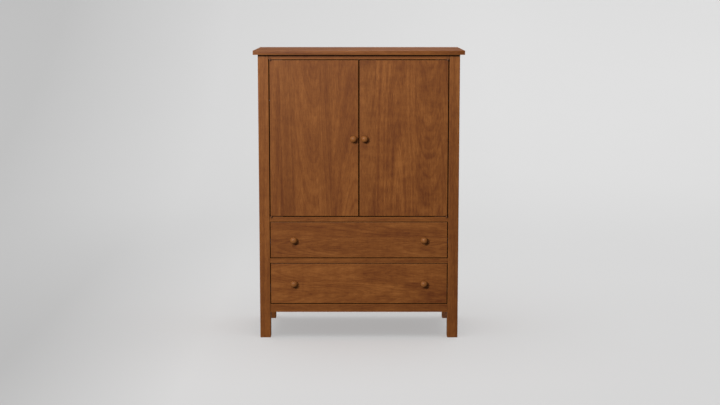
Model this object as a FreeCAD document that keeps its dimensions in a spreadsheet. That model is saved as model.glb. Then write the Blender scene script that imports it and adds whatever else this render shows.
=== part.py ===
import FreeCAD, Part
import math
import os
import re
import Sketcher

# Television armoire: a solid-wood cabinet on four square posts, with a pair of inset doors over
# the television bay and two wide drawers below. Millimetres, +Z up, the front looks towards -Y.
# The origin is on the floor, under the middle of the whole piece, knobs and top slab included.

SIZES = (
    # the case
    ("total_height", 1478, "floor to the upper face of the top slab"),
    ("case_width", 1020, "across the outer faces of the posts"),
    ("case_depth", 506, "front faces of the front posts to rear faces of the rear posts"),
    ("post_side", 54, "side of a square post"),
    ("post_ease", 3, "rounding of the long edges of a post"),
    ("foot_chamfer", 2, "bevel round the foot of a post"),
    ("top_thick", 21, "top slab"),
    ("front_overhang", 23, "top slab past the front posts"),
    ("side_overhang", 23, "top slab past the posts at each end"),
    ("rear_overhang", 17, "top slab past the rear posts, to clear a skirting board"),
    ("top_ease", 4, "rounding of the edges of the top slab"),
    # the front, from the floor up
    ("leg_clear", 135, "floor to the apron"),
    ("apron_high", 42, "apron under the lower drawer"),
    ("apron_thick", 22, "apron, and the rails across the back"),
    ("drawer_gap", 3, "shadow gap round a drawer front"),
    ("lower_front_high", 209, "front of the lower drawer"),
    ("upper_front_high", 185, "front of the upper drawer"),
    ("rail_high", 24, "rails between the drawers and under the doors"),
    ("door_gap", 4, "gap above, below and at the hinge side of a door"),
    ("meeting_gap", 5, "gap between the two doors"),
    ("top_rail_high", 23, "rail under the top slab"),
    ("front_thick", 20, "boards of the doors and drawer fronts"),
    ("front_ease", 3, "rounding of the front edges of doors and drawer fronts"),
    # joinery of the case
    ("tenon_long", 25, "length of a tenon"),
    ("tenon_shoulder", 5, "step from the face of a rail to its tenon"),
    ("side_recess", 6, "side frame set back from the outer faces of the posts"),
    ("side_rail_thick", 22, "rails of the side frames"),
    ("side_rail_high", 60, "rails of the side frames"),
    ("panel_thick", 10, "side panel, its grooves and the tenons of the side rails"),
    ("groove_deep", 8, "tongue of a panel in its groove"),
    ("panel_play", 0.5, "room for a panel to swell"),
    ("back_thick", 6, "back panels"),
    ("back_lap", 10, "back panel over the rear posts, in a rebate"),
    ("rear_rail_high", 60, "rail across the back under the top slab"),
    ("deck_thick", 18, "floor of the television bay"),
    ("deck_tongue", 8, "tongue of the deck in the door rail"),
    ("bottom_thick", 6, "dust panel under the drawers, and the drawer bottoms"),
    ("bottom_drop", 14, "top edge of the apron to the underside of the dust panel"),
    ("cleat_side", 25, "square cleats that carry the deck"),
    ("cleat_high", 60, "cleats that carry the drawer slides"),
    # the adjustable shelf and the cable ports
    ("shelf_down", 231, "underside of the adjustable shelf below the top slab"),
    ("shelf_thick", 19, "adjustable shelf"),
    ("shelf_set", 42, "shelf behind the front of the case"),
    ("shelf_play", 1.5, "shelf short of each post"),
    ("shelf_back_gap", 15, "slot behind the shelf for cables"),
    ("shelf_ease", 2, "rounding of the front edges of the shelf"),
    ("pin_dia", 5, "shelf pin"),
    ("pin_play", 0.2, "shelf pin holes over the pins, on the diameter"),
    ("pin_sunk", 10, "shelf pin inside its hole"),
    ("pin_reach", 9, "shelf pin past its collar"),
    ("collar_dia", 9, "collar of a shelf pin"),
    ("pin_inset", 14, "rear shelf pins behind the front faces of the rear posts"),
    ("pin_front", 47, "front shelf pins behind the front of the case"),
    ("pin_pitch", 32, "pitch of the shelf pin holes"),
    ("port_dia", 60, "hole for a cable grommet"),
    ("port_out", 330, "cable port from the middle"),
    ("port_rise", 70, "cable port above the deck"),
    ("grommet_wall", 4, "wall of a cable grommet"),
    ("grommet_rim", 5, "flange of a grommet past its hole"),
    ("grommet_rim_thick", 2, "flange of a grommet"),
    ("grommet_play", 0.2, "grommet short of its hole, all round"),
    # the doors
    ("batten_wide", 60, "battens that keep the doors flat"),
    ("batten_thick", 16, "battens that keep the doors flat"),
    ("batten_margin", 60, "end of a batten to the edge of its door"),
    ("batten_inset", 80, "batten from the top or bottom of its door"),
    ("batten_ease", 4, "bevel of the edges of a batten"),
    ("leaf_thick", 3, "leaf of a knife hinge"),
    ("leaf_sunk", 2, "leaf of a knife hinge below the surface of the wood"),
    ("leaf_long", 60, "arm of a leaf, from the knuckle"),
    ("arm_front", 5, "arm of a leaf behind the face of the door"),
    ("arm_wide", 10, "arm of a leaf"),
    ("knuckle_radius", 4, "round end of a leaf"),
    ("pivot_out", 5, "pivot in front of the face of the door"),
    ("hinge_pin_radius", 2, "hinge pin"),
    ("hinge_running", 0.05, "hinge pin in the leaf of the door, all round"),
    ("washer_play", 0.3, "washer boss short of the leaf of the door"),
    ("catch_wide", 46, "double magnetic catch"),
    ("catch_deep", 15, "double magnetic catch"),
    ("catch_high", 12, "double magnetic catch"),
    ("catch_ease", 1.5, "bevel of the catch"),
    ("strike_thick", 1.5, "strike plate on a door"),
    ("strike_side", 15, "strike plate on a door"),
    ("strike_out", 5.5, "strike plate from the middle of the case"),
    ("strike_gap", 0.3, "strike plate to the catch"),
    # the knobs
    ("knob_reach", 31, "turned knob, from the face it stands on"),
    ("knob_radius", 19, "head of a knob"),
    ("knob_foot", 10.5, "radius of the foot of a knob"),
    ("foot_thick", 3, "foot of a knob"),
    ("knob_neck", 8.5, "radius of the neck of a knob"),
    ("head_out", 13, "back of the head of a knob from its face"),
    ("lip_bevel", 3, "bevel round the back of the head"),
    ("crown_bevel", 9, "bevel round the front of the head"),
    ("crown_ease", 4, "bevels on both edges of that one"),
    ("door_knob_out", 28, "centre of a door knob from the middle of the case"),
    ("drawer_knob_out", 334, "centre of a drawer knob from the middle of the case"),
    ("bolt_radius", 2, "bolt of a knob"),
    ("bolt_grip", 15, "bolt inside its knob"),
    ("bolt_play", 0.2, "hole over a bolt, all round"),
    ("bolt_head_radius", 4.5, "head of a knob bolt"),
    ("bolt_head_high", 2.5, "head of a knob bolt"),
    # the drawers
    ("box_thick", 12, "sides, front and back of a drawer box"),
    ("box_lift", 14, "drawer box above the lower edge of its front"),
    ("upper_box_high", 145, "upper drawer box"),
    ("lower_box_high", 170, "lower drawer box"),
    ("tail_gap", 9, "narrow side of a dovetail pin"),
    ("tail_slope", 2, "slope of a dovetail over the thickness of the board"),
    ("bottom_rise", 10, "drawer bottom above the lower edge of its box"),
    ("bottom_tongue", 6, "drawer bottom in its groove"),
    ("bottom_play", 0.3, "drawer bottom short of the end of its groove"),
    # the three-part ball-bearing slides
    ("slide_thick", 12.7, "case to drawer box"),
    ("slide_half", 22.8, "half the height of the case member"),
    ("slide_long", 446, "each member"),
    ("slide_set", 2, "drawer box past each end of its slides"),
    ("slide_rise", 62, "slide centre above the lower edge of the drawer box"),
    ("slide_wall", 1.2, "sheet steel of the members"),
    ("slide_lip", 2.2, "turned edge of a member"),
    ("case_flange", 10.8, "flange of the case member"),
    ("middle_out", 2.4, "middle member from the case"),
    ("middle_flange", 8, "flange of the middle member"),
    ("drawer_flange", 7.7, "flange of the drawer member"),
    ("ball_radius", 1.4, "bearing ball"),
    ("ball_gap", 0.3, "ball to its raceway"),
    ("ball_pitch", 30, "balls along a cage"),
    ("case_cage_set", 300, "first ball against the case member, from the front end of the slide"),
    ("drawer_cage_set", 110, "first ball against the drawer member, from the front end of the slide"),
    ("cage_side", 1.2, "square strip of a ball cage"),
)

TAILS = 4
PIN_HOLES_EACH_WAY = 3
BALLS = 2
PEG_SIDES = 8
KNOB_SIDES = 20

# Places that follow from the sizes.
PLACES = {
    "case_top": "total_height - top_thick",
    "half_case": "case_width / 2",
    "half_open": "case_width / 2 - post_side",
    "front": "(knob_reach - case_depth - rear_overhang) / 2",
    "rear": "front + case_depth",
    "front_post_back": "front + post_side",
    "rear_post_front": "rear - post_side",
    "back_face": "rear - back_thick",
    "apron_top": "leg_clear + apron_high",
    "lower_bottom": "apron_top + drawer_gap",
    "lower_top": "lower_bottom + lower_front_high",
    "drawer_rail_bottom": "lower_top + drawer_gap",
    "drawer_rail_top": "drawer_rail_bottom + rail_high",
    "upper_bottom": "drawer_rail_top + drawer_gap",
    "upper_top": "upper_bottom + upper_front_high",
    "door_rail_bottom": "upper_top + drawer_gap",
    "door_rail_top": "door_rail_bottom + rail_high",
    "door_bottom": "door_rail_top + door_gap",
    "top_rail_bottom": "case_top - top_rail_high",
    "door_top": "top_rail_bottom - door_gap",
    "door_middle": "(door_bottom + door_top) / 2",
    "deck_bottom": "door_rail_top - deck_thick",
    "back_split": "door_rail_top - deck_thick / 2",
    "side_mid": "half_case - side_recess - side_rail_thick / 2",
    "side_face": "side_mid - panel_thick / 2",
    "side_rail_in": "half_case - side_recess - side_rail_thick",
    "side_rail_out": "half_case - side_recess",
    "low_side_top": "leg_clear + side_rail_high",
    "high_side_bottom": "case_top - side_rail_high",
    "dust_bottom": "apron_top - bottom_drop",
    "shelf_level": "case_top - shelf_down",
    "pin_level": "shelf_level - pin_dia / 2",
    "port_level": "door_rail_top + port_rise",
    "board_back": "front + front_thick",
    "door_edge": "half_open - door_gap",
    "pivot_side": "door_edge - knuckle_radius",
    "pivot_front": "front - pivot_out",
    "box_half": "half_open - slide_thick",
    "slide_start": "board_back + slide_set",
    "slide_end": "slide_start + slide_long",
    "box_rear": "slide_end + slide_set",
    "race": "2 * (ball_radius + ball_gap)",
    "middle_half": "slide_half - slide_wall - race",
    "drawer_half": "middle_half - slide_wall - race",
}

DOC = FreeCAD.newDocument("TelevisionArmoire")
SHEET = DOC.addObject("Spreadsheet::Sheet", "Sizes")
BODIES = {}


def full(text):
    """Write a formula out for the document: places become sizes, sizes get the sheet's name."""
    def written(match):
        word = match.group(0)
        if word in PLACES:
            return "(" + full(PLACES[word]) + ")"
        return "Sizes." + word
    return re.sub(r"[a-z_]+", written, str(text))


def value(text):
    """The number that a formula gives."""
    return float(SHEET.evalExpression(full(text)))


def bind(thing, name, text):
    """Tie a property to a formula of the sheet."""
    thing.setExpression(name, full(text))


def fill_sheet():
    """Write the driving dimensions into the sheet, one row each."""
    for row, (name, size, meaning) in enumerate(SIZES, 1):
        SHEET.set("A%d" % row, meaning)
        SHEET.set("B%d" % row, str(size))
        SHEET.setAlias("B%d" % row, name)
    DOC.recompute()


def new_body(label):
    """An empty body; a group of like pieces may be several solids in one body."""
    body = DOC.addObject("PartDesign::Body", label)
    body.Label = label
    body.AllowCompound = True
    BODIES[label] = body
    return body


def origin_plane(body, role):
    return [item for item in body.Origin.OriginFeatures if item.Role == role][0]


def seat(feature, body, role, place):
    """Attach a feature to an origin plane of its body, moved to a place given as x, y, z."""
    x, y, z = place
    offset = {
        "XY_Plane": (x, y, z),
        "XZ_Plane": (x, z, "-(%s)" % y),
        "YZ_Plane": (y, z, x),
    }[role]
    feature.AttachmentSupport = [(origin_plane(body, role), "")]
    feature.MapMode = "FlatFace"
    for axis, text in zip("xyz", offset):
        bind(feature, ".AttachmentOffset.Base." + axis, text)


def sided(side, span):
    """A span along X, given for the right side, on the right (1) or the left (-1)."""
    if side > 0:
        return span
    return ("-(%s)" % span[1], "-(%s)" % span[0])


def both(text):
    """A span along X that reaches as far on the left as on the right."""
    return ("-(%s)" % text, text)


def box(body, kind, name, x, y, z):
    """Add or cut a rectangular block, given by its span along each axis."""
    block = body.newObject("PartDesign::%sBox" % kind, name)
    seat(block, body, "XY_Plane", (x[0], y[0], z[0]))
    for side, span in (("Length", x), ("Width", y), ("Height", z)):
        bind(block, side, "(%s) - (%s)" % (span[1], span[0]))
    body.Tip = block
    return block


def board(label, x, y, z):
    """A new body that starts as a squared board."""
    body = new_body(label)
    box(body, "Additive", "Board", x, y, z)
    return body


def cut(body, name, x, y, z):
    return box(body, "Subtractive", name, x, y, z)


def rod(body, kind, name, axis, start, length, radius, sides=0):
    """Add or cut a bar that runs from start in the positive direction of an axis. It is round, or
    has flat sides, with the radius to its corners."""
    x, y, z = start
    role = {"X": "YZ_Plane", "Y": "XZ_Plane", "Z": "XY_Plane"}[axis]
    if axis == "Y":
        y = "(%s) + (%s)" % (y, length)
    bar = body.newObject("PartDesign::%s%s" % (kind, "Prism" if sides else "Cylinder"), name)
    seat(bar, body, role, (x, y, z))
    bind(bar, "Height", length)
    bind(bar, "Circumradius" if sides else "Radius", radius)
    if sides:
        bar.Polygon = sides
    body.Tip = bar
    return bar


def peg(body, kind, name, axis, start, length, radius):
    """A thin bar, or its hole, of which there are many: a few flat sides stand for round ones."""
    return rod(body, kind, name, axis, start, length, radius, PEG_SIDES)


def bend(start, end, radius, turn):
    """The short arc from start to end; turn is 1 for counter-clockwise and -1 for clockwise."""
    chord = end - start
    half = chord.Length / 2
    normal = FreeCAD.Vector(-chord.y, chord.x, 0).normalize()
    centre = (start + end) / 2 + normal * turn * math.sqrt(max(radius ** 2 - half ** 2, 0))
    first, last = (start, end) if turn > 0 else (end, start)
    angles = [math.atan2(point.y - centre.y, point.x - centre.x) for point in (first, last)]
    circle = Part.Circle(centre, FreeCAD.Vector(0, 0, 1), radius)
    return Part.ArcOfCircle(circle, angles[0], angles[1])


def tie(sketch, kind, numbers, text):
    """Add a dimension to a sketch and tie it to a formula."""
    index = sketch.addConstraint(Sketcher.Constraint(kind, *numbers, value(text)))
    sketch.setExpression("Constraints[%d]" % index, full(text))


def loop(sketch, corners):
    """Draw one closed outline. A corner is (across, up), or (across, up, radius, turn) where the
    side that leaves it is an arc."""
    points = [FreeCAD.Vector(value(corner[0]), value(corner[1]), 0) for corner in corners]
    ends = []
    for number, corner in enumerate(corners):
        start = points[number]
        end = points[(number + 1) % len(points)]
        if len(corner) == 2:
            edge = sketch.addGeometry(Part.LineSegment(start, end))
            ends.append((edge, 1, 2))
            continue
        edge = sketch.addGeometry(bend(start, end, value(corner[2]), corner[3]))
        ends.append((edge, 1, 2) if corner[3] > 0 else (edge, 2, 1))
    for number, corner in enumerate(corners):
        edge, begin, _ = ends[number]
        before, _, finish = ends[number - 1]
        sketch.addConstraint(Sketcher.Constraint("Coincident", before, finish, edge, begin))
        tie(sketch, "DistanceX", (edge, begin), corner[0])
        tie(sketch, "DistanceY", (edge, begin), corner[1])
        if len(corner) > 2:
            tie(sketch, "Radius", (edge,), corner[2])


def outline(body, role, name, place, *loops):
    """A sketch of closed outlines on an origin plane of the body, moved to a place."""
    sketch = body.newObject("Sketcher::SketchObject", name)
    seat(sketch, body, role, place)
    for corners in loops:
        loop(sketch, corners)
    return sketch


def pad(body, sketch, name, length):
    """Push an outline out along the direction that its sketch faces."""
    solid = body.newObject("PartDesign::Pad", name)
    solid.Profile = sketch
    bind(solid, "Length", length)
    body.Tip = solid
    return solid


def pocket(body, sketch, name, length):
    """Sink an outline into the body, against the direction that its sketch faces."""
    hollow = body.newObject("PartDesign::Pocket", name)
    hollow.Profile = sketch
    bind(hollow, "Length", length)
    body.Tip = hollow
    return hollow


def spin(body, sketch, name):
    """Turn an outline once round the upright axis of its sketch."""
    turned = body.newObject("PartDesign::Revolution", name)
    turned.Profile = sketch
    turned.ReferenceAxis = (sketch, ["V_Axis"])
    turned.Angle = 360
    body.Tip = turned
    return turned


def repeat(body, features, name, axis, pitch, count):
    """Repeat features along an axis of the body."""
    DOC.recompute()
    row = body.newObject("PartDesign::LinearPattern", name)
    row.Originals = features
    row.Direction = (origin_plane(body, axis), [""])
    row.Mode = "Spacing"
    bind(row, "Offset", pitch)
    row.Occurrences = count
    body.Tip = row
    return row


def mirror(body, features, name):
    """Copy features to the other side of the middle of the case."""
    DOC.recompute()
    copy = body.newObject("PartDesign::Mirrored", name)
    copy.Originals = features
    copy.MirrorPlane = (origin_plane(body, "YZ_Plane"), [""])
    body.Tip = copy
    return copy


def ease(body, name, size, chosen, kind="Fillet"):
    """Round or bevel the edges of the body that chosen picks."""
    DOC.recompute()
    base = body.Tip
    edges = ["Edge%d" % number for number, edge in enumerate(base.Shape.Edges, 1) if chosen(edge)]
    eased = body.newObject("PartDesign::" + kind, name)
    eased.Base = (base, edges)
    bind(eased, "Radius" if kind == "Fillet" else "Size", size)
    body.Tip = eased
    return eased


def lies_at(edge, axis, text):
    """Whether the whole edge lies in the plane at a place on an axis."""
    bounds = edge.BoundBox
    low, high = {"x": (bounds.XMin, bounds.XMax), "y": (bounds.YMin, bounds.YMax),
                 "z": (bounds.ZMin, bounds.ZMax)}[axis]
    place = value(text)
    return abs(low - place) < 0.001 and abs(high - place) < 0.001


SIDES = ((-1, "left"), (1, "right"))
ROWS = (("front", ("front", "front_post_back")), ("rear", ("rear_post_front", "rear")))


# ---- the case -------------------------------------------------------------------------------

def make_top_slab():
    slab = board("top_slab", both("half_case + side_overhang"),
                 ("front - front_overhang", "rear + rear_overhang"), ("case_top", "total_height"))
    ease(slab, "Eased", "top_ease",
         lambda edge: lies_at(edge, "z", "total_height") or lies_at(edge, "z", "case_top"))


def make_posts():
    """Four square posts that run from the floor to the slab."""
    for row, deep in ROWS:
        for side, word in SIDES:
            post = board("%s_%s_post" % (row, word), sided(side, ("half_open", "half_case")), deep,
                         ("0", "case_top"))
            ease(post, "Foot", "foot_chamfer", lambda edge: lies_at(edge, "z", "0"), "Chamfer")
            ease(post, "LongEdges", "post_ease", lambda edge: edge.Length > value("post_side") * 2)


def mortise(post, name, x, y, z):
    cut(BODIES[post], name, x, y, z)


def make_cross_rail(label, row, y, z):
    """A rail from the left post to the right post of a row, with a tenon at each end."""
    rail = board(label, both("half_open"), y, z)
    cheek = ("(%s) + tenon_shoulder" % y[0], "(%s) - tenon_shoulder" % y[1])
    edge = ("(%s) + tenon_shoulder" % z[0], "(%s) - tenon_shoulder" % z[1])
    for side, word in SIDES:
        reach = sided(side, ("half_open", "half_open + tenon_long"))
        box(rail, "Additive", "Tenon", reach, cheek, edge)
        mortise("%s_%s_post" % (row, word), "Mortise", reach, cheek, edge)
    return rail


def make_cross_rails():
    deep = ("front", "front_post_back")
    back = ("back_face - apron_thick", "back_face")
    make_cross_rail("top_front_rail", "front", deep, ("top_rail_bottom", "case_top"))
    make_cross_rail("door_rail", "front", deep, ("door_rail_bottom", "door_rail_top"))
    make_cross_rail("drawer_rail", "front", deep, ("drawer_rail_bottom", "drawer_rail_top"))
    make_cross_rail("front_apron", "front", ("front", "front + apron_thick"), ("leg_clear", "apron_top"))
    make_cross_rail("top_rear_rail", "rear", back, ("case_top - rear_rail_high", "case_top"))
    make_cross_rail("bottom_rear_rail", "rear", back, ("leg_clear", "apron_top"))


def make_side_rails():
    """Upper and lower rail of each side frame, tenoned into the posts and grooved for the panel."""
    levels = (("high_side_bottom", "case_top"), ("leg_clear", "low_side_top"))
    mouths = (("high_side_bottom", "high_side_bottom + groove_deep + panel_play"),
              ("low_side_top - groove_deep - panel_play", "low_side_top"))
    thick = ("side_mid - panel_thick / 2", "side_mid + panel_thick / 2")
    tenons = (("front", ("front_post_back - tenon_long", "front_post_back")),
              ("rear", ("rear_post_front", "rear_post_front + tenon_long")))
    for side, word in SIDES:
        rails = new_body("%s_side_rails" % word)
        cheek = sided(side, thick)
        for level, mouth in zip(levels, mouths):
            box(rails, "Additive", "Rail", sided(side, ("side_rail_in", "side_rail_out")),
                ("front_post_back", "rear_post_front"), level)
            edge = ("(%s) + groove_deep + panel_play" % level[0], "(%s) - groove_deep - panel_play" % level[1])
            for row, reach in tenons:
                box(rails, "Additive", "Tenon", cheek, reach, edge)
                mortise("%s_%s_post" % (row, word), "SideMortise", cheek, reach, edge)
            cut(rails, "PanelGroove", cheek, ("front_post_back", "rear_post_front"), mouth)


def make_side_panels():
    """A flat panel floats in the grooves of each side frame."""
    thick = ("side_mid - panel_thick / 2", "side_mid + panel_thick / 2")
    mouths = (("front", ("front_post_back - groove_deep - panel_play", "front_post_back")),
              ("rear", ("rear_post_front", "rear_post_front + groove_deep + panel_play")))
    for side, word in SIDES:
        cheek = sided(side, thick)
        board("%s_side_panel" % word, cheek,
              ("front_post_back - groove_deep", "rear_post_front + groove_deep"),
              ("low_side_top - groove_deep", "high_side_bottom + groove_deep"))
        for row, mouth in mouths:
            cut(BODIES["%s_%s_post" % (row, word)], "PanelGroove", cheek, mouth,
                ("low_side_top - groove_deep - panel_play", "high_side_bottom + groove_deep + panel_play"))


def make_deck():
    """Floor of the television bay: tongued into the door rail, notched round the rear posts."""
    deck = board("tv_deck", both("side_face - panel_play"), ("front_post_back", "back_face"),
                 ("deck_bottom", "door_rail_top"))
    tongue = ("deck_bottom + deck_thick / 3", "door_rail_top - deck_thick / 3")
    box(deck, "Additive", "Tongue", both("half_open - tenon_long"),
        ("front_post_back - deck_tongue", "front_post_back"), tongue)
    cut(BODIES["door_rail"], "DeckGroove", both("half_open - tenon_long"),
        ("front_post_back - deck_tongue - panel_play", "front_post_back"), tongue)
    for side, word in SIDES:
        cut(deck, "Notch_" + word, sided(side, ("half_open - panel_play", "half_case")),
            ("rear_post_front - panel_play", "rear"), ("deck_bottom", "door_rail_top"))


def make_dust_panel():
    """Thin panel under the drawers, in grooves of the apron, the rear rail and the side rails."""
    level = ("dust_bottom", "dust_bottom + bottom_thick")
    inner = ("front + apron_thick", "back_face - apron_thick")
    panel = board("dust_panel", both("side_rail_in + groove_deep"),
                  ("(%s) - groove_deep" % inner[0], "(%s) + groove_deep" % inner[1]), level)
    for side, word in SIDES:
        for row, deep in (("front", ("front", "front_post_back + panel_play")),
                          ("rear", ("rear_post_front - panel_play", "rear"))):
            cut(panel, "Notch", sided(side, ("half_open - panel_play", "half_case")), deep, level)
        cut(BODIES["%s_side_rails" % word], "DustGroove",
            sided(side, ("side_rail_in", "side_rail_in + groove_deep + panel_play")),
            ("front_post_back", "rear_post_front"), level)
    cut(BODIES["front_apron"], "DustGroove", both("half_open"),
        ("(%s) - groove_deep - panel_play" % inner[0], inner[0]), level)
    cut(BODIES["bottom_rear_rail"], "DustGroove", both("half_open"),
        (inner[1], "(%s) + groove_deep + panel_play" % inner[1]), level)


def make_back_panels():
    """Two thin panels lie in rebates of the rear posts; the upper one has the cable ports."""
    wide = both("half_open + back_lap")
    deep = ("back_face", "rear")
    upper = board("upper_back_panel", wide, deep, ("back_split", "case_top"))
    board("lower_back_panel", wide, deep, ("leg_clear", "back_split"))
    port = rod(upper, "Subtractive", "CablePort", "Y", ("port_out", "back_face", "port_level"),
               "back_thick", "port_dia / 2")
    mirror(upper, [port], "OtherPort")
    for side, word in SIDES:
        cut(BODIES["rear_%s_post" % word], "BackRebate",
            sided(side, ("half_open", "half_open + back_lap")), deep, ("leg_clear", "case_top"))


def make_grommets():
    """A flanged ring lines each cable port."""
    grommets = new_body("cable_grommets")
    outer = "port_dia / 2 - grommet_play"
    inner = "(%s) - grommet_wall" % outer
    rim = "port_dia / 2 + grommet_rim"
    section = ((inner, "-grommet_rim_thick"), (rim, "-grommet_rim_thick"), (rim, "0"), (outer, "0"),
               (outer, "back_thick"), (inner, "back_thick"))
    sketch = outline(grommets, "XY_Plane", "RingSection", ("port_out", "back_face", "port_level"), section)
    ring = spin(grommets, sketch, "Ring")
    mirror(grommets, [ring], "OtherRing")


def make_cleats():
    """Strips along the inside of each side: one under the deck, two behind the drawer slides."""
    cleats = new_body("side_cleats")
    along = ("front_post_back", "rear_post_front")
    for side, word in SIDES:
        box(cleats, "Additive", "DeckCleat", sided(side, ("side_face - cleat_side", "side_face")), along,
            ("deck_bottom - cleat_side", "deck_bottom"))
        for bottom in ("upper_bottom", "lower_bottom"):
            middle = "%s + box_lift + slide_rise" % bottom
            box(cleats, "Additive", "SlideCleat", sided(side, ("half_open", "side_face")), along,
                ("%s - cleat_high / 2" % middle, "%s + cleat_high / 2" % middle))


# ---- the shelf ------------------------------------------------------------------------------

def make_shelf():
    shelf = board("adjustable_shelf", both("half_open - shelf_play"),
                  ("front + shelf_set", "back_face - shelf_back_gap"),
                  ("shelf_level", "shelf_level + shelf_thick"))
    ease(shelf, "FrontEdge", "shelf_ease",
         lambda edge: lies_at(edge, "y", "front + shelf_set") and edge.Length > value("case_width / 2"))


def pin_rows():
    """Where the shelf pins stand, front and rear."""
    return (("front", "front + pin_front"), ("rear", "rear_post_front + pin_inset"))


def make_pin_holes():
    """A row of holes up the inner face of each post."""
    lowest = "pin_level - %d * pin_pitch" % PIN_HOLES_EACH_WAY
    radius = "(pin_dia + pin_play) / 2"
    for row, y in pin_rows():
        for side, word in SIDES:
            post = BODIES["%s_%s_post" % (row, word)]
            start = sided(side, ("half_open", "half_open + pin_sunk"))[0]
            hole = peg(post, "Subtractive", "PinHole", "X", (start, y, lowest), "pin_sunk", radius)
            repeat(post, [hole], "PinHoles", "Z_Axis", "pin_pitch", 2 * PIN_HOLES_EACH_WAY + 1)


def make_shelf_pins():
    """Four pins with a collar that stops them at the post; the shelf lies on their free ends."""
    pins = new_body("shelf_pins")
    lengths = (("Pin", "half_open - shelf_play - pin_reach", "half_open + pin_sunk", "pin_dia / 2"),
               ("Collar", "half_open - shelf_play", "half_open", "collar_dia / 2"))
    for row, y in pin_rows():
        for side, word in SIDES:
            for name, near, far, radius in lengths:
                start = sided(side, (near, far))[0]
                peg(pins, "Additive", name, "X", (start, y, "pin_level"), "%s - (%s)" % (far, near), radius)


# ---- knobs ----------------------------------------------------------------------------------

def make_knobs(label, sides, out, z):
    """Knobs of one height, each with a foot, a neck and a head with a bevelled back and a crown
    of three bevels, bored for its bolt."""
    knobs = new_body(label)
    lengths = (("Foot", "0", "foot_thick", "knob_foot"),
               ("Neck", "foot_thick", "head_out", "knob_neck"),
               ("Head", "head_out", "knob_reach", "knob_radius"))
    places = [sided(side, (out, out))[0] for side in sides]
    for x in places:
        for name, near, far, radius in lengths:
            rod(knobs, "Additive", name, "Y", (x, "front - %s" % far, z), "%s - (%s)" % (far, near), radius,
                KNOB_SIDES)
    widest = value("knob_neck") + value("lip_bevel")
    ease(knobs, "Back", "lip_bevel",
         lambda edge: lies_at(edge, "y", "front - head_out") and is_far(edge, places, z, widest), "Chamfer")
    ease(knobs, "Crown", "crown_bevel", lambda edge: lies_at(edge, "y", "front - knob_reach"), "Chamfer")
    ease(knobs, "CrownEdges", "crown_ease",
         lambda edge: lies_at(edge, "y", "front - knob_reach")
         or lies_at(edge, "y", "front - knob_reach + crown_bevel"), "Chamfer")
    bolt_holes(knobs, sides, out, z, "front - bolt_grip", "bolt_grip")


def is_far(edge, places, z, distance):
    """Whether the middle of an edge is further than a distance from the axes of all the knobs."""
    middle = edge.CenterOfMass
    return all(math.hypot(middle.x - value(x), middle.z - value(z)) > distance for x in places)


def make_bolts(label, sides, out, z, grip):
    """Bolts from the back of the wood, which is grip thick, into the knobs."""
    bolts = new_body(label)
    for side in sides:
        x = sided(side, (out, out))[0]
        peg(bolts, "Additive", "Shank", "Y", (x, "front - bolt_grip", z), "bolt_grip + " + grip, "bolt_radius")
        peg(bolts, "Additive", "Head", "Y", (x, "front + " + grip, z), "bolt_head_high", "bolt_head_radius")


def bolt_holes(body, sides, out, z, start, length):
    for side in sides:
        x = sided(side, (out, out))[0]
        peg(body, "Subtractive", "BoltHole", "Y", (x, start, z), length, "bolt_radius + bolt_play")


# ---- doors and knife hinges -----------------------------------------------------------------

def leaf_plan(side):
    """Outline of a hinge leaf seen from above, from its pivot: a round knuckle in front of the
    door, a stem back into the wood and an arm along it towards the middle."""
    arm_face = "pivot_out + arm_front"
    arm_back = arm_face + " + arm_wide"
    corners = (
        ("knuckle_radius", "0", "knuckle_radius", -1),
        ("0", "-knuckle_radius", "knuckle_radius", -1),
        ("-knuckle_radius", "0"),
        ("-knuckle_radius", arm_face),
        ("-leaf_long", arm_face),
        ("-leaf_long", arm_back),
        ("knuckle_radius", arm_back),
    )
    if side > 0:
        return corners
    turned = []
    for corner in corners:
        swapped = ("-(%s)" % corner[0],) + corner[1:]
        if len(corner) > 2:
            swapped = swapped[:3] + (-corner[3],)
        turned.append(swapped)
    return tuple(turned)


def leaf_levels():
    """Lower faces of the leaves in the case and in the door, at the foot and the head."""
    return (
        ("foot", "door_rail_top - leaf_sunk", "door_bottom + leaf_sunk - leaf_thick"),
        ("head", "top_rail_bottom + leaf_sunk - leaf_thick", "door_top - leaf_sunk"),
    )


def pivot_at(side, level):
    return (sided(side, ("pivot_side", "pivot_side"))[0], "pivot_front", level)


def leaf(body, side, level):
    sketch = outline(body, "XY_Plane", "LeafPlan", pivot_at(side, level), leaf_plan(side))
    return pad(body, sketch, "Leaf", "leaf_thick")


def leaf_mortise(body, side, level):
    """The seat of a leaf, cut to its plan; level is the lower face of the leaf."""
    sketch = outline(body, "XY_Plane", "MortisePlan", pivot_at(side, "(%s) + leaf_thick" % level),
                     leaf_plan(side))
    return pocket(body, sketch, "LeafMortise", "leaf_thick")


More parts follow.
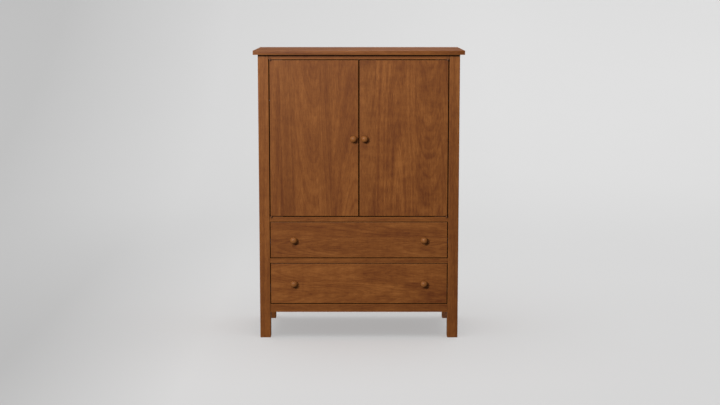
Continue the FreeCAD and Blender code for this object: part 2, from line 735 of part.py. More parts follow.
def make_hinges():
    """Offset knife hinges: one leaf in the case, one in the door, a pin through both knuckles."""
    cases = new_body("hinge_case_leaves")
    pins = new_body("hinge_pins")
    for side, word in SIDES:
        doors = new_body("%s_door_leaves" % word)
        for end, case_level, door_level in leaf_levels():
            leaf(cases, side, case_level)
            leaf(doors, side, door_level)
            upper, lower = (case_level, door_level) if end == "head" else (door_level, case_level)
            boss_start = "(%s) + leaf_thick" % case_level
            if end == "head":
                boss_start = "(%s) - (door_gap - 2 * (leaf_thick - leaf_sunk) - washer_play)" % case_level
            x, y, _ = pivot_at(side, "0")
            rod(cases, "Additive", "WasherBoss", "Z", (x, y, boss_start),
                "door_gap - 2 * (leaf_thick - leaf_sunk) - washer_play", "knuckle_radius")
            reach = "(%s) + leaf_thick - (%s)" % (upper, lower)
            rod(cases, "Subtractive", "PinSeat", "Z", (x, y, lower), reach, "hinge_pin_radius")
            rod(doors, "Subtractive", "PinBore", "Z", (x, y, lower), reach,
                "hinge_pin_radius + hinge_running")
            rod(pins, "Additive", "Pin", "Z", (x, y, lower), reach, "hinge_pin_radius")
            leaf_mortise(BODIES["door_rail" if end == "foot" else "top_front_rail"], side, case_level)
            leaf_mortise(BODIES["%s_door" % word], side, door_level)


def make_doors():
    """Two inset doors of upright boards, each kept flat by two battens on its back."""
    for side, word in SIDES:
        door = board("%s_door" % word, sided(side, ("meeting_gap / 2", "door_edge")),
                     ("front", "board_back"), ("door_bottom", "door_top"))
        ease(door, "FrontEdges", "front_ease", lambda edge: lies_at(edge, "y", "front"))
        make_knobs("%s_door_knob" % word, (side,), "door_knob_out", "door_middle")
        make_bolts("%s_door_knob_bolt" % word, (side,), "door_knob_out", "door_middle", "front_thick")
        bolt_holes(door, (side,), "door_knob_out", "door_middle", "front", "front_thick")
        make_battens(side, word)
        board("%s_strike_plate" % word, sided(side, ("strike_out", "strike_out + strike_side")),
              ("board_back", "board_back + strike_thick"),
              ("door_top - door_gap - strike_side", "door_top - door_gap"))


def make_battens(side, word):
    battens = new_body("%s_door_battens" % word)
    wide = sided(side, ("meeting_gap / 2 + batten_margin", "door_edge - batten_margin"))
    deep = ("board_back", "board_back + batten_thick")
    for level in (("door_bottom + batten_inset", "door_bottom + batten_inset + batten_wide"),
                  ("door_top - batten_inset - batten_wide", "door_top - batten_inset")):
        box(battens, "Additive", "Batten", wide, deep, level)
    ease(battens, "BackEdges", "batten_ease", lambda edge: lies_at(edge, "y", "board_back + batten_thick"),
         "Chamfer")


def make_catch():
    """A double magnetic catch under the top rail, where the doors meet."""
    face = "board_back + strike_thick + strike_gap"
    catch = board("magnetic_catch", both("catch_wide / 2"), (face, face + " + catch_deep"),
                  ("top_rail_bottom - catch_high", "top_rail_bottom"))
    ease(catch, "UnderEdges", "catch_ease",
         lambda edge: lies_at(edge, "z", "top_rail_bottom - catch_high"), "Chamfer")


# ---- drawers --------------------------------------------------------------------------------

def tail_cells(bottom, high):
    """Middle of each dovetail, and half its width at the root and at the end."""
    pitch = "(%s) / %d" % (high, TAILS)
    end = "(%s - tail_gap) / 2" % pitch
    for number in range(TAILS):
        yield "%s + %s * %s" % (bottom, number + 0.5, pitch), end + " - tail_slope", end


def tail_line(bottom, high, root, tip):
    """Corners along one dovetailed end of a board, from the bottom up."""
    corners = []
    for middle, narrow, wide in tail_cells(bottom, high):
        corners += [(root, "%s - (%s)" % (middle, narrow)), (tip, "%s - (%s)" % (middle, wide)),
                    (tip, "%s + (%s)" % (middle, wide)), (root, "%s + (%s)" % (middle, narrow))]
    return corners


def make_box_sides(name, bottom, high):
    """The two sides of a drawer box, with tails at both ends and a groove for the bottom."""
    sides = new_body("%s_box_sides" % name)
    top = "%s + (%s)" % (bottom, high)
    first = "board_back + box_thick"
    last = "box_rear - box_thick"
    corners = [(first, bottom)] + tail_line(bottom, high, first, "board_back") + [(first, top), (last, top)]
    corners += tail_line(bottom, high, last, "box_rear")[::-1] + [(last, bottom)]
    sketch = outline(sides, "YZ_Plane", "TailBoard", ("box_half - box_thick", "0", "0"), corners)
    side = pad(sides, sketch, "Side", "box_thick")
    mirror(sides, [side], "OtherSide")
    for turn, word in SIDES:
        cut(sides, "BottomGroove", sided(turn, ("box_half - box_thick", "box_half - box_thick + bottom_tongue")),
            ("%s - bottom_tongue" % first, "%s + bottom_tongue" % last), groove_level(bottom))


def groove_level(bottom):
    return ("%s + bottom_rise" % bottom, "%s + bottom_rise + bottom_thick" % bottom)


def make_box_end(label, bottom, high, y, groove):
    """The front or back of a drawer box: a board with its ends cut away between the pins."""
    end = board(label, both("box_half"), y, (bottom, "%s + (%s)" % (bottom, high)))
    outer, inner = y if label.endswith("front") else y[::-1]
    loops = []
    for middle, narrow, wide in tail_cells(bottom, high):
        loops.append(((inner, "%s - (%s)" % (middle, narrow)), (outer, "%s - (%s)" % (middle, wide)),
                      (outer, "%s + (%s)" % (middle, wide)), (inner, "%s + (%s)" % (middle, narrow))))
    sketch = outline(end, "YZ_Plane", "Sockets", ("box_half", "0", "0"), *loops)
    sockets = pocket(end, sketch, "TailSockets", "box_thick")
    mirror(end, [sockets], "OtherEnd")
    cut(end, "BottomGroove", both("box_half - box_thick"), groove, groove_level(bottom))
    return end


def make_drawer(name, bottom, high, box_high):
    """A face board on a dovetailed box with a thin bottom, two knobs and their bolts."""
    face = board("%s_drawer_front" % name, both("half_open - drawer_gap"), ("front", "board_back"),
                 (bottom, "%s + %s" % (bottom, high)))
    ease(face, "FrontEdges", "front_ease", lambda edge: lies_at(edge, "y", "front"))
    floor = "%s + box_lift" % bottom
    first = "board_back + box_thick"
    last = "box_rear - box_thick"
    make_box_sides(name, floor, box_high)
    box_front = make_box_end("%s_box_front" % name, floor, box_high, ("board_back", first),
                             ("%s - bottom_tongue" % first, first))
    make_box_end("%s_box_back" % name, floor, box_high, (last, "box_rear"), (last, "%s + bottom_tongue" % last))
    board("%s_box_bottom" % name, both("box_half - box_thick + bottom_tongue - bottom_play"),
          ("%s - bottom_tongue + bottom_play" % first, "%s + bottom_tongue - bottom_play" % last),
          groove_level(floor))
    level = "%s + %s / 2" % (bottom, high)
    make_knobs("%s_drawer_knobs" % name, (-1, 1), "drawer_knob_out", level)
    make_bolts("%s_drawer_knob_bolts" % name, (-1, 1), "drawer_knob_out", level, "front_thick + box_thick")
    bolt_holes(face, (-1, 1), "drawer_knob_out", level, "front", "front_thick")
    bolt_holes(box_front, (-1, 1), "drawer_knob_out", level, "board_back", "box_thick")


# ---- ball-bearing slides --------------------------------------------------------------------

def channel(web, mouth, wall, half, middle):
    """A lipped channel seen along the slide: web is the place of its back, mouth of its open side."""
    way = "+" if value(mouth) > value(web) else "-"
    back = "%s %s %s" % (web, way, wall)
    edge = "%s %s %s" % (mouth, "-" if way == "+" else "+", wall)
    low = "%s - (%s)" % (middle, half)
    high = "%s + (%s)" % (middle, half)
    return ((web, low), (mouth, low), (mouth, low + " + slide_lip"), (edge, low + " + slide_lip"),
            (edge, "%s + %s" % (low, wall)), (back, "%s + %s" % (low, wall)),
            (back, "%s - %s" % (high, wall)), (edge, "%s - %s" % (high, wall)),
            (edge, high + " - slide_lip"), (mouth, high + " - slide_lip"), (mouth, high), (web, high))


def make_slide_member(label, web, mouth, half, middle):
    """One rolled-steel member, right and left."""
    members = new_body(label)
    section = channel(web, mouth, "slide_wall", half, middle)
    sketch = outline(members, "XZ_Plane", "Section", ("0", "slide_end", "0"), section)
    member = pad(members, sketch, "Member", "slide_long")
    mirror(members, [member], "OtherMember")


def make_ball_cages(label, middle):
    """A strip with bearing balls in each of the four raceways of a slide."""
    cages = new_body(label)
    across = "half_open - middle_out - middle_flange / 2"
    for half, first in (("slide_half - slide_wall - race / 2", "case_cage_set"),
                        ("middle_half - slide_wall - race / 2", "drawer_cage_set")):
        for way in ("+", "-"):
            for side, word in SIDES:
                make_ball_cage(cages, side, across, "slide_start + " + first, "%s %s (%s)" % (middle, way, half))


def make_ball_cage(cages, side, across, start, level):
    box(cages, "Additive", "Strip", sided(side, (across + " - cage_side / 2", across + " + cage_side / 2")),
        (start, "%s + %d * ball_pitch" % (start, BALLS - 1)),
        ("%s - cage_side / 2" % level, "%s + cage_side / 2" % level))
    for number in range(BALLS):
        near = "%s + %d * ball_pitch - ball_radius" % (start, number)
        peg(cages, "Additive", "Ball", "Y", (sided(side, (across, across))[0], near, level),
            "2 * ball_radius", "ball_radius")


def make_slides(name, bottom):
    middle = "(%s + box_lift + slide_rise)" % bottom
    make_slide_member("%s_slide_case_members" % name, "half_open", "half_open - case_flange",
                      "slide_half", middle)
    make_slide_member("%s_slide_middle_members" % name, "half_open - middle_out",
                      "half_open - middle_out - middle_flange", "middle_half", middle)
    make_slide_member("%s_slide_drawer_members" % name, "box_half", "box_half + drawer_flange",
                      "drawer_half", middle)
    make_ball_cages("%s_slide_ball_cages" % name, middle)


# ---- the whole ------------------------------------------------------------------------------

def make_all():
    fill_sheet()
    make_top_slab()
    make_posts()
    make_cross_rails()
    make_side_rails()
    make_side_panels()
    make_deck()
    make_dust_panel()
    make_back_panels()
    make_grommets()
    make_cleats()
    make_shelf()
    make_pin_holes()
    make_shelf_pins()
    make_doors()
    make_hinges()
    make_catch()
    for name, bottom, high, box_high in (
            ("upper", "upper_bottom", "upper_front_high", "upper_box_high"),
            ("lower", "lower_bottom", "lower_front_high", "lower_box_high")):
        make_drawer(name, bottom, high, box_high)
        make_slides(name, bottom)
    DOC.recompute()


def check_all():
    """Stop if any object has failed or any piece has no sound solid."""
    for thing in DOC.Objects:
        if "Invalid" in thing.State or "Error" in thing.State:
            raise RuntimeError("%s of %s failed" % (thing.Name, [p.Label for p in thing.InList]))
    for label, body in BODIES.items():
        if body.Shape.isNull() or not body.Shape.isValid() or not body.Shape.Solids:
            raise RuntimeError(label + " has no sound solid")


def write_all():
    os.makedirs("parts", exist_ok=True)
    for label, body in BODIES.items():
        body.Shape.exportStep("parts/%s.step" % label)
    print("%d sub-parts" % len(BODIES))


make_all()
check_all()
write_all()
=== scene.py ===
# %% [markdown]
# # Finishing a television armoire
#
# The joinery of this cabinet is ready: four square posts, rails, framed sides, a pair of doors,
# two drawers and all of their hinges and slides are solids with their places and bodies. This
# lesson gives each of them the finish that it has on the real piece: stained and lacquered wood,
# pale drawer boxes, browned brass hinges and zinc-plated steel. Knobs, bolts, pins and screws are
# turned and driven here as meshes, because small round work wants more facets than joinery does.

# %% Load the joinery
import math

import bmesh
import bpy
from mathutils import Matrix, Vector


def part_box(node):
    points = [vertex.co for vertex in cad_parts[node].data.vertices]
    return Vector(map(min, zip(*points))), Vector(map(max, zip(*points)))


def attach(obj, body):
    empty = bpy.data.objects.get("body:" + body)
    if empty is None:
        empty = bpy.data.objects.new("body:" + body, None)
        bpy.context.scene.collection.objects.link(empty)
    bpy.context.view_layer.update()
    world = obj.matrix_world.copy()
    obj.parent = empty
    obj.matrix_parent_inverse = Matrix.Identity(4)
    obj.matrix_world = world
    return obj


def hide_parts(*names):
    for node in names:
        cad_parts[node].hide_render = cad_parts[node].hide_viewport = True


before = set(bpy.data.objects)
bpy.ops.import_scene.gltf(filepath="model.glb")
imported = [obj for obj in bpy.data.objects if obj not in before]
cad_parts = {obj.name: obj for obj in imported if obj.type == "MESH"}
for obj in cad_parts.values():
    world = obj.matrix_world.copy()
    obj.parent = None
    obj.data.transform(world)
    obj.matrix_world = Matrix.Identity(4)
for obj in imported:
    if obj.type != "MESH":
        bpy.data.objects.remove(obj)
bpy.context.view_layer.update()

# %% [markdown]
# ## Measuring from the joinery
#
# The front of the cabinet looks towards -Y and the floor is Z = 0. Knobs and screws could be placed
# by typed numbers, but they would stay behind when the joinery changes. So each solid is asked for
# its lowest and highest corner, and what belongs on it is placed from those.

# %% Measure the solids
MM = 0.001
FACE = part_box("left_door")[0].y


def middle_height(node):
    low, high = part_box(node)
    return (low.z + high.z) / 2


print("front face of the doors at y =", round(FACE, 4))
print("middle of the doors at z =", round(middle_height("left_door"), 4))

# %% [markdown]
# ## The camera
#
# The piece is seen straight on, from a little above its top and tilted down, so its upper face
# shows as a thin strip and its upright edges draw together slightly towards the floor. A short lens
# close by would make them lean much more, and a view without perspective would keep them upright. A
# long lens far away is in between, as the eye sees furniture across a room.

# %% Set up the camera
VIEW_PITCH = 8.078
VIEW_PLACE = (0.00546, -7.464, 1.730)
VIEW_LENS = 71.37
VIEW_REACH = 60.0


def put_in_scene(name, data):
    """Makes an object of a mesh, a lamp or a camera and puts it in the scene."""
    made = bpy.data.objects.new(name, data)
    bpy.context.scene.collection.objects.link(made)
    return made


eye = bpy.data.cameras.new("studio_camera")
eye.lens = VIEW_LENS
eye.sensor_width = 36.0
eye.clip_end = VIEW_REACH
camera = put_in_scene("studio_camera", eye)
camera.location = VIEW_PLACE
camera.rotation_euler = (math.radians(90.0 - VIEW_PITCH), 0.0, 0.0)
bpy.context.scene.camera = camera
print("camera", VIEW_PLACE, "lens", VIEW_LENS)

# %% [markdown]
# ## Nodes by the handful
#
# Every material below is a tree of shader nodes. Such trees can be drawn by hand in the shader
# editor, but this cabinet has some forty pieces of wood and each gets a tree of its own, so they
# are written as recipes. These helpers add one node at a time and fill its inputs in order: a
# socket is linked, a plain number is set.

# %% Helpers that add one node
def fill(tree, socket, value):
    """Links a socket, or sets it when the value is plain; None leaves it alone."""
    if isinstance(value, bpy.types.NodeSocket):
        tree.links.new(value, socket)
    elif value is not None:
        socket.default_value = value


def add_node(tree, kind, *fills, **settings):
    made = tree.nodes.new("ShaderNode" + kind)
    for key, value in settings.items():
        setattr(made, key, value)
    for socket, value in zip(made.inputs, fills):
        fill(tree, socket, value)
    return made


def calc(tree, operation, *terms):
    return add_node(tree, "Math", *terms, operation=operation).outputs[0]


def vector_calc(tree, operation, *terms):
    return add_node(tree, "VectorMath", *terms, operation=operation).outputs[0]


def scaled(tree, vector, factor):
    """A vector or a colour times one number, which may be a socket."""
    made = add_node(tree, "VectorMath", vector, operation="SCALE")
    fill(tree, made.inputs["Scale"], factor)
    return made.outputs[0]


def split(tree, vector):
    return add_node(tree, "SeparateXYZ", vector).outputs


print("kinds of shader node at hand:", sum(kind.startswith("ShaderNode") for kind in dir(bpy.types)))

# %% [markdown]
# ## Stretching, mixing and painting
#
# A few things are done in every recipe: a value is stretched to another range, a noise is drawn out
# along the grain, one colour is laid over another. Paint is mixed by the numbers of a screen
# colour, which have to be turned into linear light before a shader can use them.

# %% Helpers for ranges, noises and colours
MIX_AMOUNT, MIX_UNDER, MIX_OVER, MIX_RESULT = 0, 6, 7, 2


def spread(tree, value, low, high, to_low=0.0, to_high=1.0, smooth=False):
    """Stretches a value from low..high to another range, and holds it there at the ends."""
    curve = "SMOOTHSTEP" if smooth else "LINEAR"
    return add_node(tree, "MapRange", value, low, high, to_low, to_high,
                    interpolation_type=curve).outputs[0]


def stretched_noise(tree, place, scale, detail=2.0, rough=0.5):
    """Noise that is stretched along the grain: scale is per metre, for each direction."""
    stretched = vector_calc(tree, "MULTIPLY", place, scale)
    return add_node(tree, "TexNoise", stretched, None, 1.0, detail, rough)


def mixed(tree, amount, under, over, mode="MIX"):
    """Lays one colour over another."""
    made = tree.nodes.new("ShaderNodeMix")
    made.data_type = "RGBA"
    made.blend_type = mode
    for index, value in ((MIX_AMOUNT, amount), (MIX_UNDER, under), (MIX_OVER, over)):
        fill(tree, made.inputs[index], value)
    return made.outputs[MIX_RESULT]


def paint(red, green, blue):
    """A colour given as screen values from 0 to 255, for a socket that wants linear light."""
    def linear(level):
        level /= 255.0
        return level / 12.92 if level <= 0.04045 else ((level + 0.055) / 1.055) ** 2.4
    return (linear(red), linear(green), linear(blue), 1.0)


print("mid brown in linear light:", [round(level, 3) for level in paint(125, 76, 43)[:3]])

# %% [markdown]
# ## Groups with named sockets
#
# An effect that several materials share could be copied into each, but then a change would have to
# be made forty times. It is a node group instead: built once, and placed in each material with
# values of its own, as one sets a plane anew for each board.

# %% Helpers for node groups
def new_group(name, inputs, outputs):
    """Makes a group; inputs are (name, socket kind, start value). Gives its tree and its ends."""
    group = bpy.data.node_groups.new(name, "ShaderNodeTree")
    for label, kind, start in inputs:
        socket = group.interface.new_socket(label, in_out="INPUT", socket_type="NodeSocket" + kind)
        if start is not None:
            socket.default_value = start
    for label in outputs:
        group.interface.new_socket(label, in_out="OUTPUT", socket_type="NodeSocketFloat")
    ends = group.nodes.new("NodeGroupInput"), group.nodes.new("NodeGroupOutput")
    return group, ends[0].outputs, ends[1].inputs


def place_group(tree, group, **fills):
    """Places a group in a material and fills its sockets by name."""
    made = tree.nodes.new("ShaderNodeGroup")
    made.node_tree = group
    for label, value in fills.items():
        fill(tree, made.inputs[label], value)
    return made.outputs


print("groups so far:", len(bpy.data.node_groups))

# %% [markdown]
# ## The log behind the grain
#
# A board is a slice through a log. An image of wood would stop at the edges of a face, and a plain
# stretched noise has no rings, so the log itself is modelled as a solid of rings round a heart line
# that runs nearly along the board, some way behind its face. Where the heart leans, the rings run
# out of the face as tall pointed arches; where it is far to one side, they are plain stripes. The
# ends of the board then show end grain by themselves.

# %% Grow the log
SWAY = ((1.1, 5.0, 5.0), 2.0)
KINK = ((8.0, 26.0, 26.0), 0.3)
HALF_GREY = (0.5, 0.5, 0.5)


def bent_place(group, given, place):
    """No log is straight: a slow sway, and small kinks on it, bend the line of its heart."""
    bends = []
    for scale, share in (SWAY, KINK):
        noise = stretched_noise(group, place, scale).outputs["Color"]
        either_way = vector_calc(group, "SUBTRACT", noise, HALF_GREY)
        bends.append(scaled(group, either_way, calc(group, "MULTIPLY", given["Wander"], share)))
    return vector_calc(group, "ADD", given["Place"], vector_calc(group, "ADD", *bends))


def count_years(group, given, place):
    """How many rings lie between the heart line and this place."""
    _, bent_across, bent_through = split(group, bent_place(group, given, place))
    along = split(group, given["Place"])[0]
    across = calc(group, "SUBTRACT", bent_across, given["Heart"])
    through = calc(group, "ADD", calc(group, "SUBTRACT", bent_through, given["Depth"]),
                   calc(group, "MULTIPLY", along, given["Lean"]))
    radius = calc(group, "SQRT", calc(group, "ADD", calc(group, "MULTIPLY", across, across),
                                      calc(group, "MULTIPLY", through, through)))
    return calc(group, "DIVIDE", radius, given["Ring"])


print("sway once in", round(1 / SWAY[0][0], 2), "m, kink once in", round(1 / KINK[0][0], 3), "m")

# %% [markdown]
# ## Years
#
# In each ring the pale early wood darkens slowly into late wood and ends sharply where the winter
# stopped it. A wave would darken and pale at the same speed, so the fraction of a year is shaped by
# one slow and one quick step instead. No two years are alike: each ring gets its own depth, and
# good and bad years come in bands.

# %% Colour the years
LATE_RISE, LATE_STOP, POOREST_YEAR = (0.35, 0.9), (0.93, 1.0), 0.25
YEAR_SHIFT, BAND_SHIFT, BANDS_PER_YEAR = 17.0, 9.7, 0.31


def late_wood(group, given, years):
    part = calc(group, "FRACT", years)
    late = calc(group, "MULTIPLY", spread(group, part, *LATE_RISE, smooth=True),
                spread(group, part, *LATE_STOP, 1.0, 0.0, smooth=True))
    year = calc(group, "ADD", calc(group, "FLOOR", years),
                calc(group, "MULTIPLY", given["Board"], YEAR_SHIFT))
    weather = add_node(group, "TexWhiteNoise", None, year, noise_dimensions="1D").outputs[0]
    return calc(group, "MULTIPLY", late, spread(group, weather, 0.0, 1.0, POOREST_YEAR, 1.0))


def year_bands(group, given, years):
    band = calc(group, "ADD", calc(group, "MULTIPLY", years, BANDS_PER_YEAR),
                calc(group, "MULTIPLY", given["Board"], BAND_SHIFT))
    noise = add_node(group, "TexNoise", None, band, 1.0, 3.0, 0.6, noise_dimensions="1D")
    return spread(group, noise.outputs[0], 0.3, 0.7)


print("late wood takes", round(1 - sum(LATE_RISE) / 2, 2), "of a ring")

# %% [markdown]
# ## Streaks, flecks and pores
#
# Over the rings lies finer figure: streaks and clouds of stain, mottle, curl across the grain,
# flecks, fibre and open pores. A picture of wood would hold them all at one size. Here each is a
# noise of its own real size, drawn out along the grain, or across it for the curl, and they are
# rows of one table. Pores are pressed in and fibre stands up, which gives the relief under the
# lacquer.

# %% Build the wood grain group
BOARD_SHIFT = (7.31, 3.77, 5.13)
PORE_SCALE, PORE_RANGE, PORE_HEIGHT, FIBRE_HEIGHT = (70.0, 1500.0, 1500.0), (0.62, 0.72), -0.8, 0.4
# name, waves per metre along, across and through the board, detail, roughness, range kept
FIGURES = (("Streaks", (3.2, 44.0, 44.0), 4.0, 0.55, (0.3, 0.7)),
           ("Clouds", (2.4, 8.0, 8.0), 3.0, 0.5, (0.3, 0.7)),
           ("Mottle", (11.0, 30.0, 30.0), 3.0, 0.6, (0.3, 0.7)),
           ("Curl", (34.0, 11.0, 11.0), 2.0, 0.5, (0.35, 0.65)),
           ("Flecks", (24.0, 190.0, 190.0), 2.0, 0.6, (0.3, 0.7)),
           ("Fibre", (16.0, 700.0, 700.0), 3.0, 0.6, (0.3, 0.7)))


def build_wood_grain():
    group, given, result = new_group(
        "Wood grain",
        (("Place", "Vector", None), ("Board", "Float", 1.0), ("Heart", "Float", 0.0),
         ("Depth", "Float", 0.06), ("Lean", "Float", 0.05), ("Ring", "Float", 0.004),
         ("Wander", "Float", 0.012)),
        ("Rings", "Bands") + tuple(row[0] for row in FIGURES) + ("Pores", "Relief"))
    place = vector_calc(group, "ADD", given["Place"], scaled(group, BOARD_SHIFT, given["Board"]))
    years = count_years(group, given, place)
    found = {"Rings": late_wood(group, given, years), "Bands": year_bands(group, given, years)}
    for label, scale, detail, rough, kept in FIGURES:
        noise = stretched_noise(group, place, scale, detail, rough).outputs[0]
        found[label] = spread(group, noise, *kept)
    specks = stretched_noise(group, place, PORE_SCALE, 0.0).outputs[0]
    found["Pores"] = spread(group, specks, *PORE_RANGE)
    found["Relief"] = calc(group, "ADD", calc(group, "MULTIPLY", found["Pores"], PORE_HEIGHT),
                           calc(group, "MULTIPLY", found["Fibre"], FIBRE_HEIGHT))
    for label, value in found.items():
        group.links.new(value, result[label])
    return group


WOOD_GRAIN = build_wood_grain()
print("wood grain nodes:", len(WOOD_GRAIN.nodes))

# %% [markdown]
# ## Edges
#
# Stain wipes off the corners of a board and lacquer is rubbed through there, and the eased edges catch
# the light, so edges are painted a little lighter: part wear, part painted highlight. A bevel node
# finds edges by tracing rays, which is slow, and pointiness wants a dense mesh. A squared board needs
# neither: of the three distances to the faces of its box, the smallest is zero on the surface, and the
# second smallest is the distance to the nearest edge.

# %% Build the edge group
def build_board_edges():
    group, given, result = new_group(
        "Board edges",
        (("Place", "Vector", None), ("Low", "Vector", None), ("High", "Vector", None),
         ("Width", "Float", 0.004)),
        ("Edge",))
    from_low = vector_calc(group, "SUBTRACT", given["Place"], given["Low"])
    from_high = vector_calc(group, "SUBTRACT", given["High"], given["Place"])
    a, b, c = split(group, vector_calc(group, "MINIMUM", from_low, from_high))
    smaller, larger = calc(group, "MINIMUM", a, b), calc(group, "MAXIMUM", a, b)
    second = calc(group, "MAXIMUM", smaller, calc(group, "MINIMUM", larger, c))
    share = calc(group, "DIVIDE", second, given["Width"])
    group.links.new(spread(group, share, 0.0, 1.0, 1.0, 0.0, smooth=True), result["Edge"])
    return group


BOARD_EDGES = build_board_edges()
print("edge nodes:", len(BOARD_EDGES.nodes))

# %% [markdown]
# ## From a tree of nodes to a surface
#
# Each material starts from the coordinates of its piece in metres and ends in the same three
# sockets of one shader: colour, roughness and a bumped normal. Grain runs up a door and along a
# drawer, so the coordinates are turned first to: along the grain, across the face, through the
# board. Turning the coordinates is simpler than making the grain group know five directions.

# %% Helpers for a whole material
AXES = {"X": (0, 2, 1), "Y": (1, 2, 0), "Z": (2, 0, 1), "flat": (0, 1, 2), "side": (2, 1, 0)}


def new_material(name):
    material = bpy.data.materials.new(name)
    material.use_nodes = True
    tree = material.node_tree
    where = tree.nodes.new("ShaderNodeTexCoord")
    return material, tree, tree.nodes["Principled BSDF"], where


def grain_place(tree, place, grain):
    parts = split(tree, place)
    return add_node(tree, "CombineXYZ", *(parts[axis] for axis in AXES[grain])).outputs[0]


def finish_surface(tree, shader, colour, roughness, relief, strength, height):
    """Leads the colour, the roughness and the relief of a surface to its shader."""
    tree.links.new(colour, shader.inputs["Base Color"])
    tree.links.new(roughness, shader.inputs["Roughness"])
    bump = tree.nodes.new("ShaderNodeBump")
    bump.inputs["Strength"].default_value = strength
    bump.inputs["Distance"].default_value = height
    tree.links.new(relief, bump.inputs["Height"])
    tree.links.new(bump.outputs[0], shader.inputs["Normal"])


def dress(node, material):
    """Puts a finish on a solid of the joinery."""
    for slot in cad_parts[node].material_slots:
        slot.material = material
    return material


print("ways for the grain to run:", sorted(AXES))

# %% [markdown]
# ## Glued boards and blotchy stain
#
# Wide pieces are glued up from several boards, and each board comes from another log. They could be
# separate meshes, but a glued panel is one solid, so the values of the log step from board to board at
# each joint instead. Stain takes deeper where the wood is soft: a blotch is a soft-edged rectangle that
# makes the shade deeper or paler, and it may stop sharply at a joint. The same rectangles also paint
# light onto the tops of the posts, paler where more light falls on them.

# %% Helpers for joints and blotches
def glued(joints, *boards):
    """Boards glued edge to edge, each (number, heart, depth, lean) and a tone if it has one."""
    return dict(zip(("board", "heart", "depth", "lean", "tone"), zip(*boards)), joints=joints)


def by_board(tree, position, joints, values):
    """Steps from one value to the next at each glue joint."""
    level = values[0]
    for joint, before, after in zip(joints, values, values[1:]):
        past = calc(tree, "GREATER_THAN", position, joint)
        level = calc(tree, "MULTIPLY_ADD", past, after - before, level)
    return level


def between(tree, position, start, end, blur):
    """One from start to end, with soft ends."""
    return calc(tree, "MULTIPLY", spread(tree, position, start - blur, start + blur, smooth=True),
                spread(tree, position, end - blur, end + blur, 1.0, 0.0, smooth=True))


def blotches(tree, across, along, places):
    """Adds up soft rectangles of stain, and of painted light on the posts, each (start, end, blur)
    across and along, and the change of shade.
    """
    total = 0.0
    for reach_across, reach_along, change in places:
        patch = calc(tree, "MULTIPLY", between(tree, across, *reach_across),
                     between(tree, along, *reach_along))
        total = calc(tree, "MULTIPLY_ADD", patch, change, total)
    return total


print("a glued panel is given by", sorted(glued((0.0,), (1, 2, 3, 4, 5), (1, 2, 3, 4, 5))))

# %% [markdown]
# ## Shade in the gaps
#
# Little light gets into the narrow gaps round the doors and drawers, and that shade is painted into the
# colour of the wood. A dark line painted along the edges would stay when a door opens. Here the painted
# shade comes from how near the next board is, so the same edge is plain wood again once its door stands
# open. The flat fronts of the case take a share of it and those of doors and drawers none, so that a
# knob throws no more than its own shadow. The floor under the feet doesn't count.

# %% Measure the nearness of the next board
GAP_NEAR, GAP_SAMPLES = 18.0 * MM, 8
GAP_CLOSED, GAP_OPEN, GAP_SHADE_PAINT = 0.60, 0.96, 0.14
FLAT_FRONT, OFF_FLOOR = (0.97, 0.995), (0.02, 0.05)
MOVING_FRONT_SHARE, CASE_FRONT_SHARE = 0.0, 0.65


def painted_gap_shade(tree, where, front_share):
    """Where the shade is painted: one where another board stands close in front of the surface, zero in
    the open.
    """
    air = add_node(tree, "AmbientOcclusion", None, GAP_NEAR, samples=GAP_SAMPLES).outputs["AO"]
    mask = spread(tree, air, GAP_CLOSED, GAP_OPEN, 1.0, 0.0)
    facing = calc(tree, "ABSOLUTE", split(tree, where.outputs["Normal"])[1])
    on_front = spread(tree, facing, *FLAT_FRONT, 1.0, front_share)
    off_floor = spread(tree, split(tree, where.outputs["Object"])[2], *OFF_FLOOR)
    return calc(tree, "MULTIPLY", calc(tree, "MULTIPLY", mask, on_front), off_floor)


print("shade reaches", round(GAP_NEAR / MM), "mm")

# %% [markdown]
# ## Stained, lacquered hardwood
#
# The outside is a fine-grained hardwood stained a warm medium brown, under a satin lacquer. The
# colour runs from a deep red brown in the late wood and the streaks to honey in the pale years.
# Three paints and one shade from 0 to 1 give that: every part of the figure lifts or lowers the
# shade by its share, and a ramp turns it into colour, which keeps the hues of one stain together.

# %% Mix the stain
STAINED = (paint(92, 45, 13), paint(118, 67, 25), paint(142, 87, 39))
GRAIN_SHARES = {"Streaks": 0.22, "Bands": 0.32, "Clouds": 0.22, "Mottle": 0.20, "Curl": 0.08,
                "Flecks": 0.36, "Fibre": 0.14}
RINGS_SHARE = -0.18
END_TURN, END_DARK = (0.75, 0.95), 0.45


def shade_of_grain(tree, figure, strength, curl):
    """Adds the shares of the figure up to one shade, half way for wood without any."""
    shade = 0.5
    for label, share in {**GRAIN_SHARES, "Curl": curl}.items():
        lift = calc(tree, "SUBTRACT", figure[label], 0.5)
        shade = calc(tree, "MULTIPLY_ADD", lift, share * strength, shade)
    return calc(tree, "MULTIPLY_ADD", figure["Rings"], RINGS_SHARE * strength, shade)


def colour_ramp(tree, amount, stops):
    ramp = tree.nodes.new("ShaderNodeValToRGB")
    tree.links.new(amount, ramp.inputs[0])
    points = ramp.color_ramp.elements
    while len(points) < len(stops):
        points.new(0.5)
    for point, (at, colour) in zip(points, stops):
        point.position = at
        point.color = colour
    return ramp.outputs[0]


def end_grain(tree, where, grain):
    """How far the surface looks along the grain; ends drink more stain."""
    facing = split(tree, grain_place(tree, where.outputs["Normal"], grain))[0]
    return spread(tree, calc(tree, "ABSOLUTE", facing), *END_TURN, 0.0, END_DARK)


print("stain from", [round(level, 3) for level in STAINED[0][:3]])

# %% [markdown]
# ## One board from start to finish
#
# One function makes every board. Its arguments say how the board was sawn and finished: which way the
# grain runs, where the heart lies, how far it leans, how wide the rings are, how deep the stain took,
# where light and shade are painted onto it, and how glossy the lacquer is. A material built for each
# board would repeat all of it.

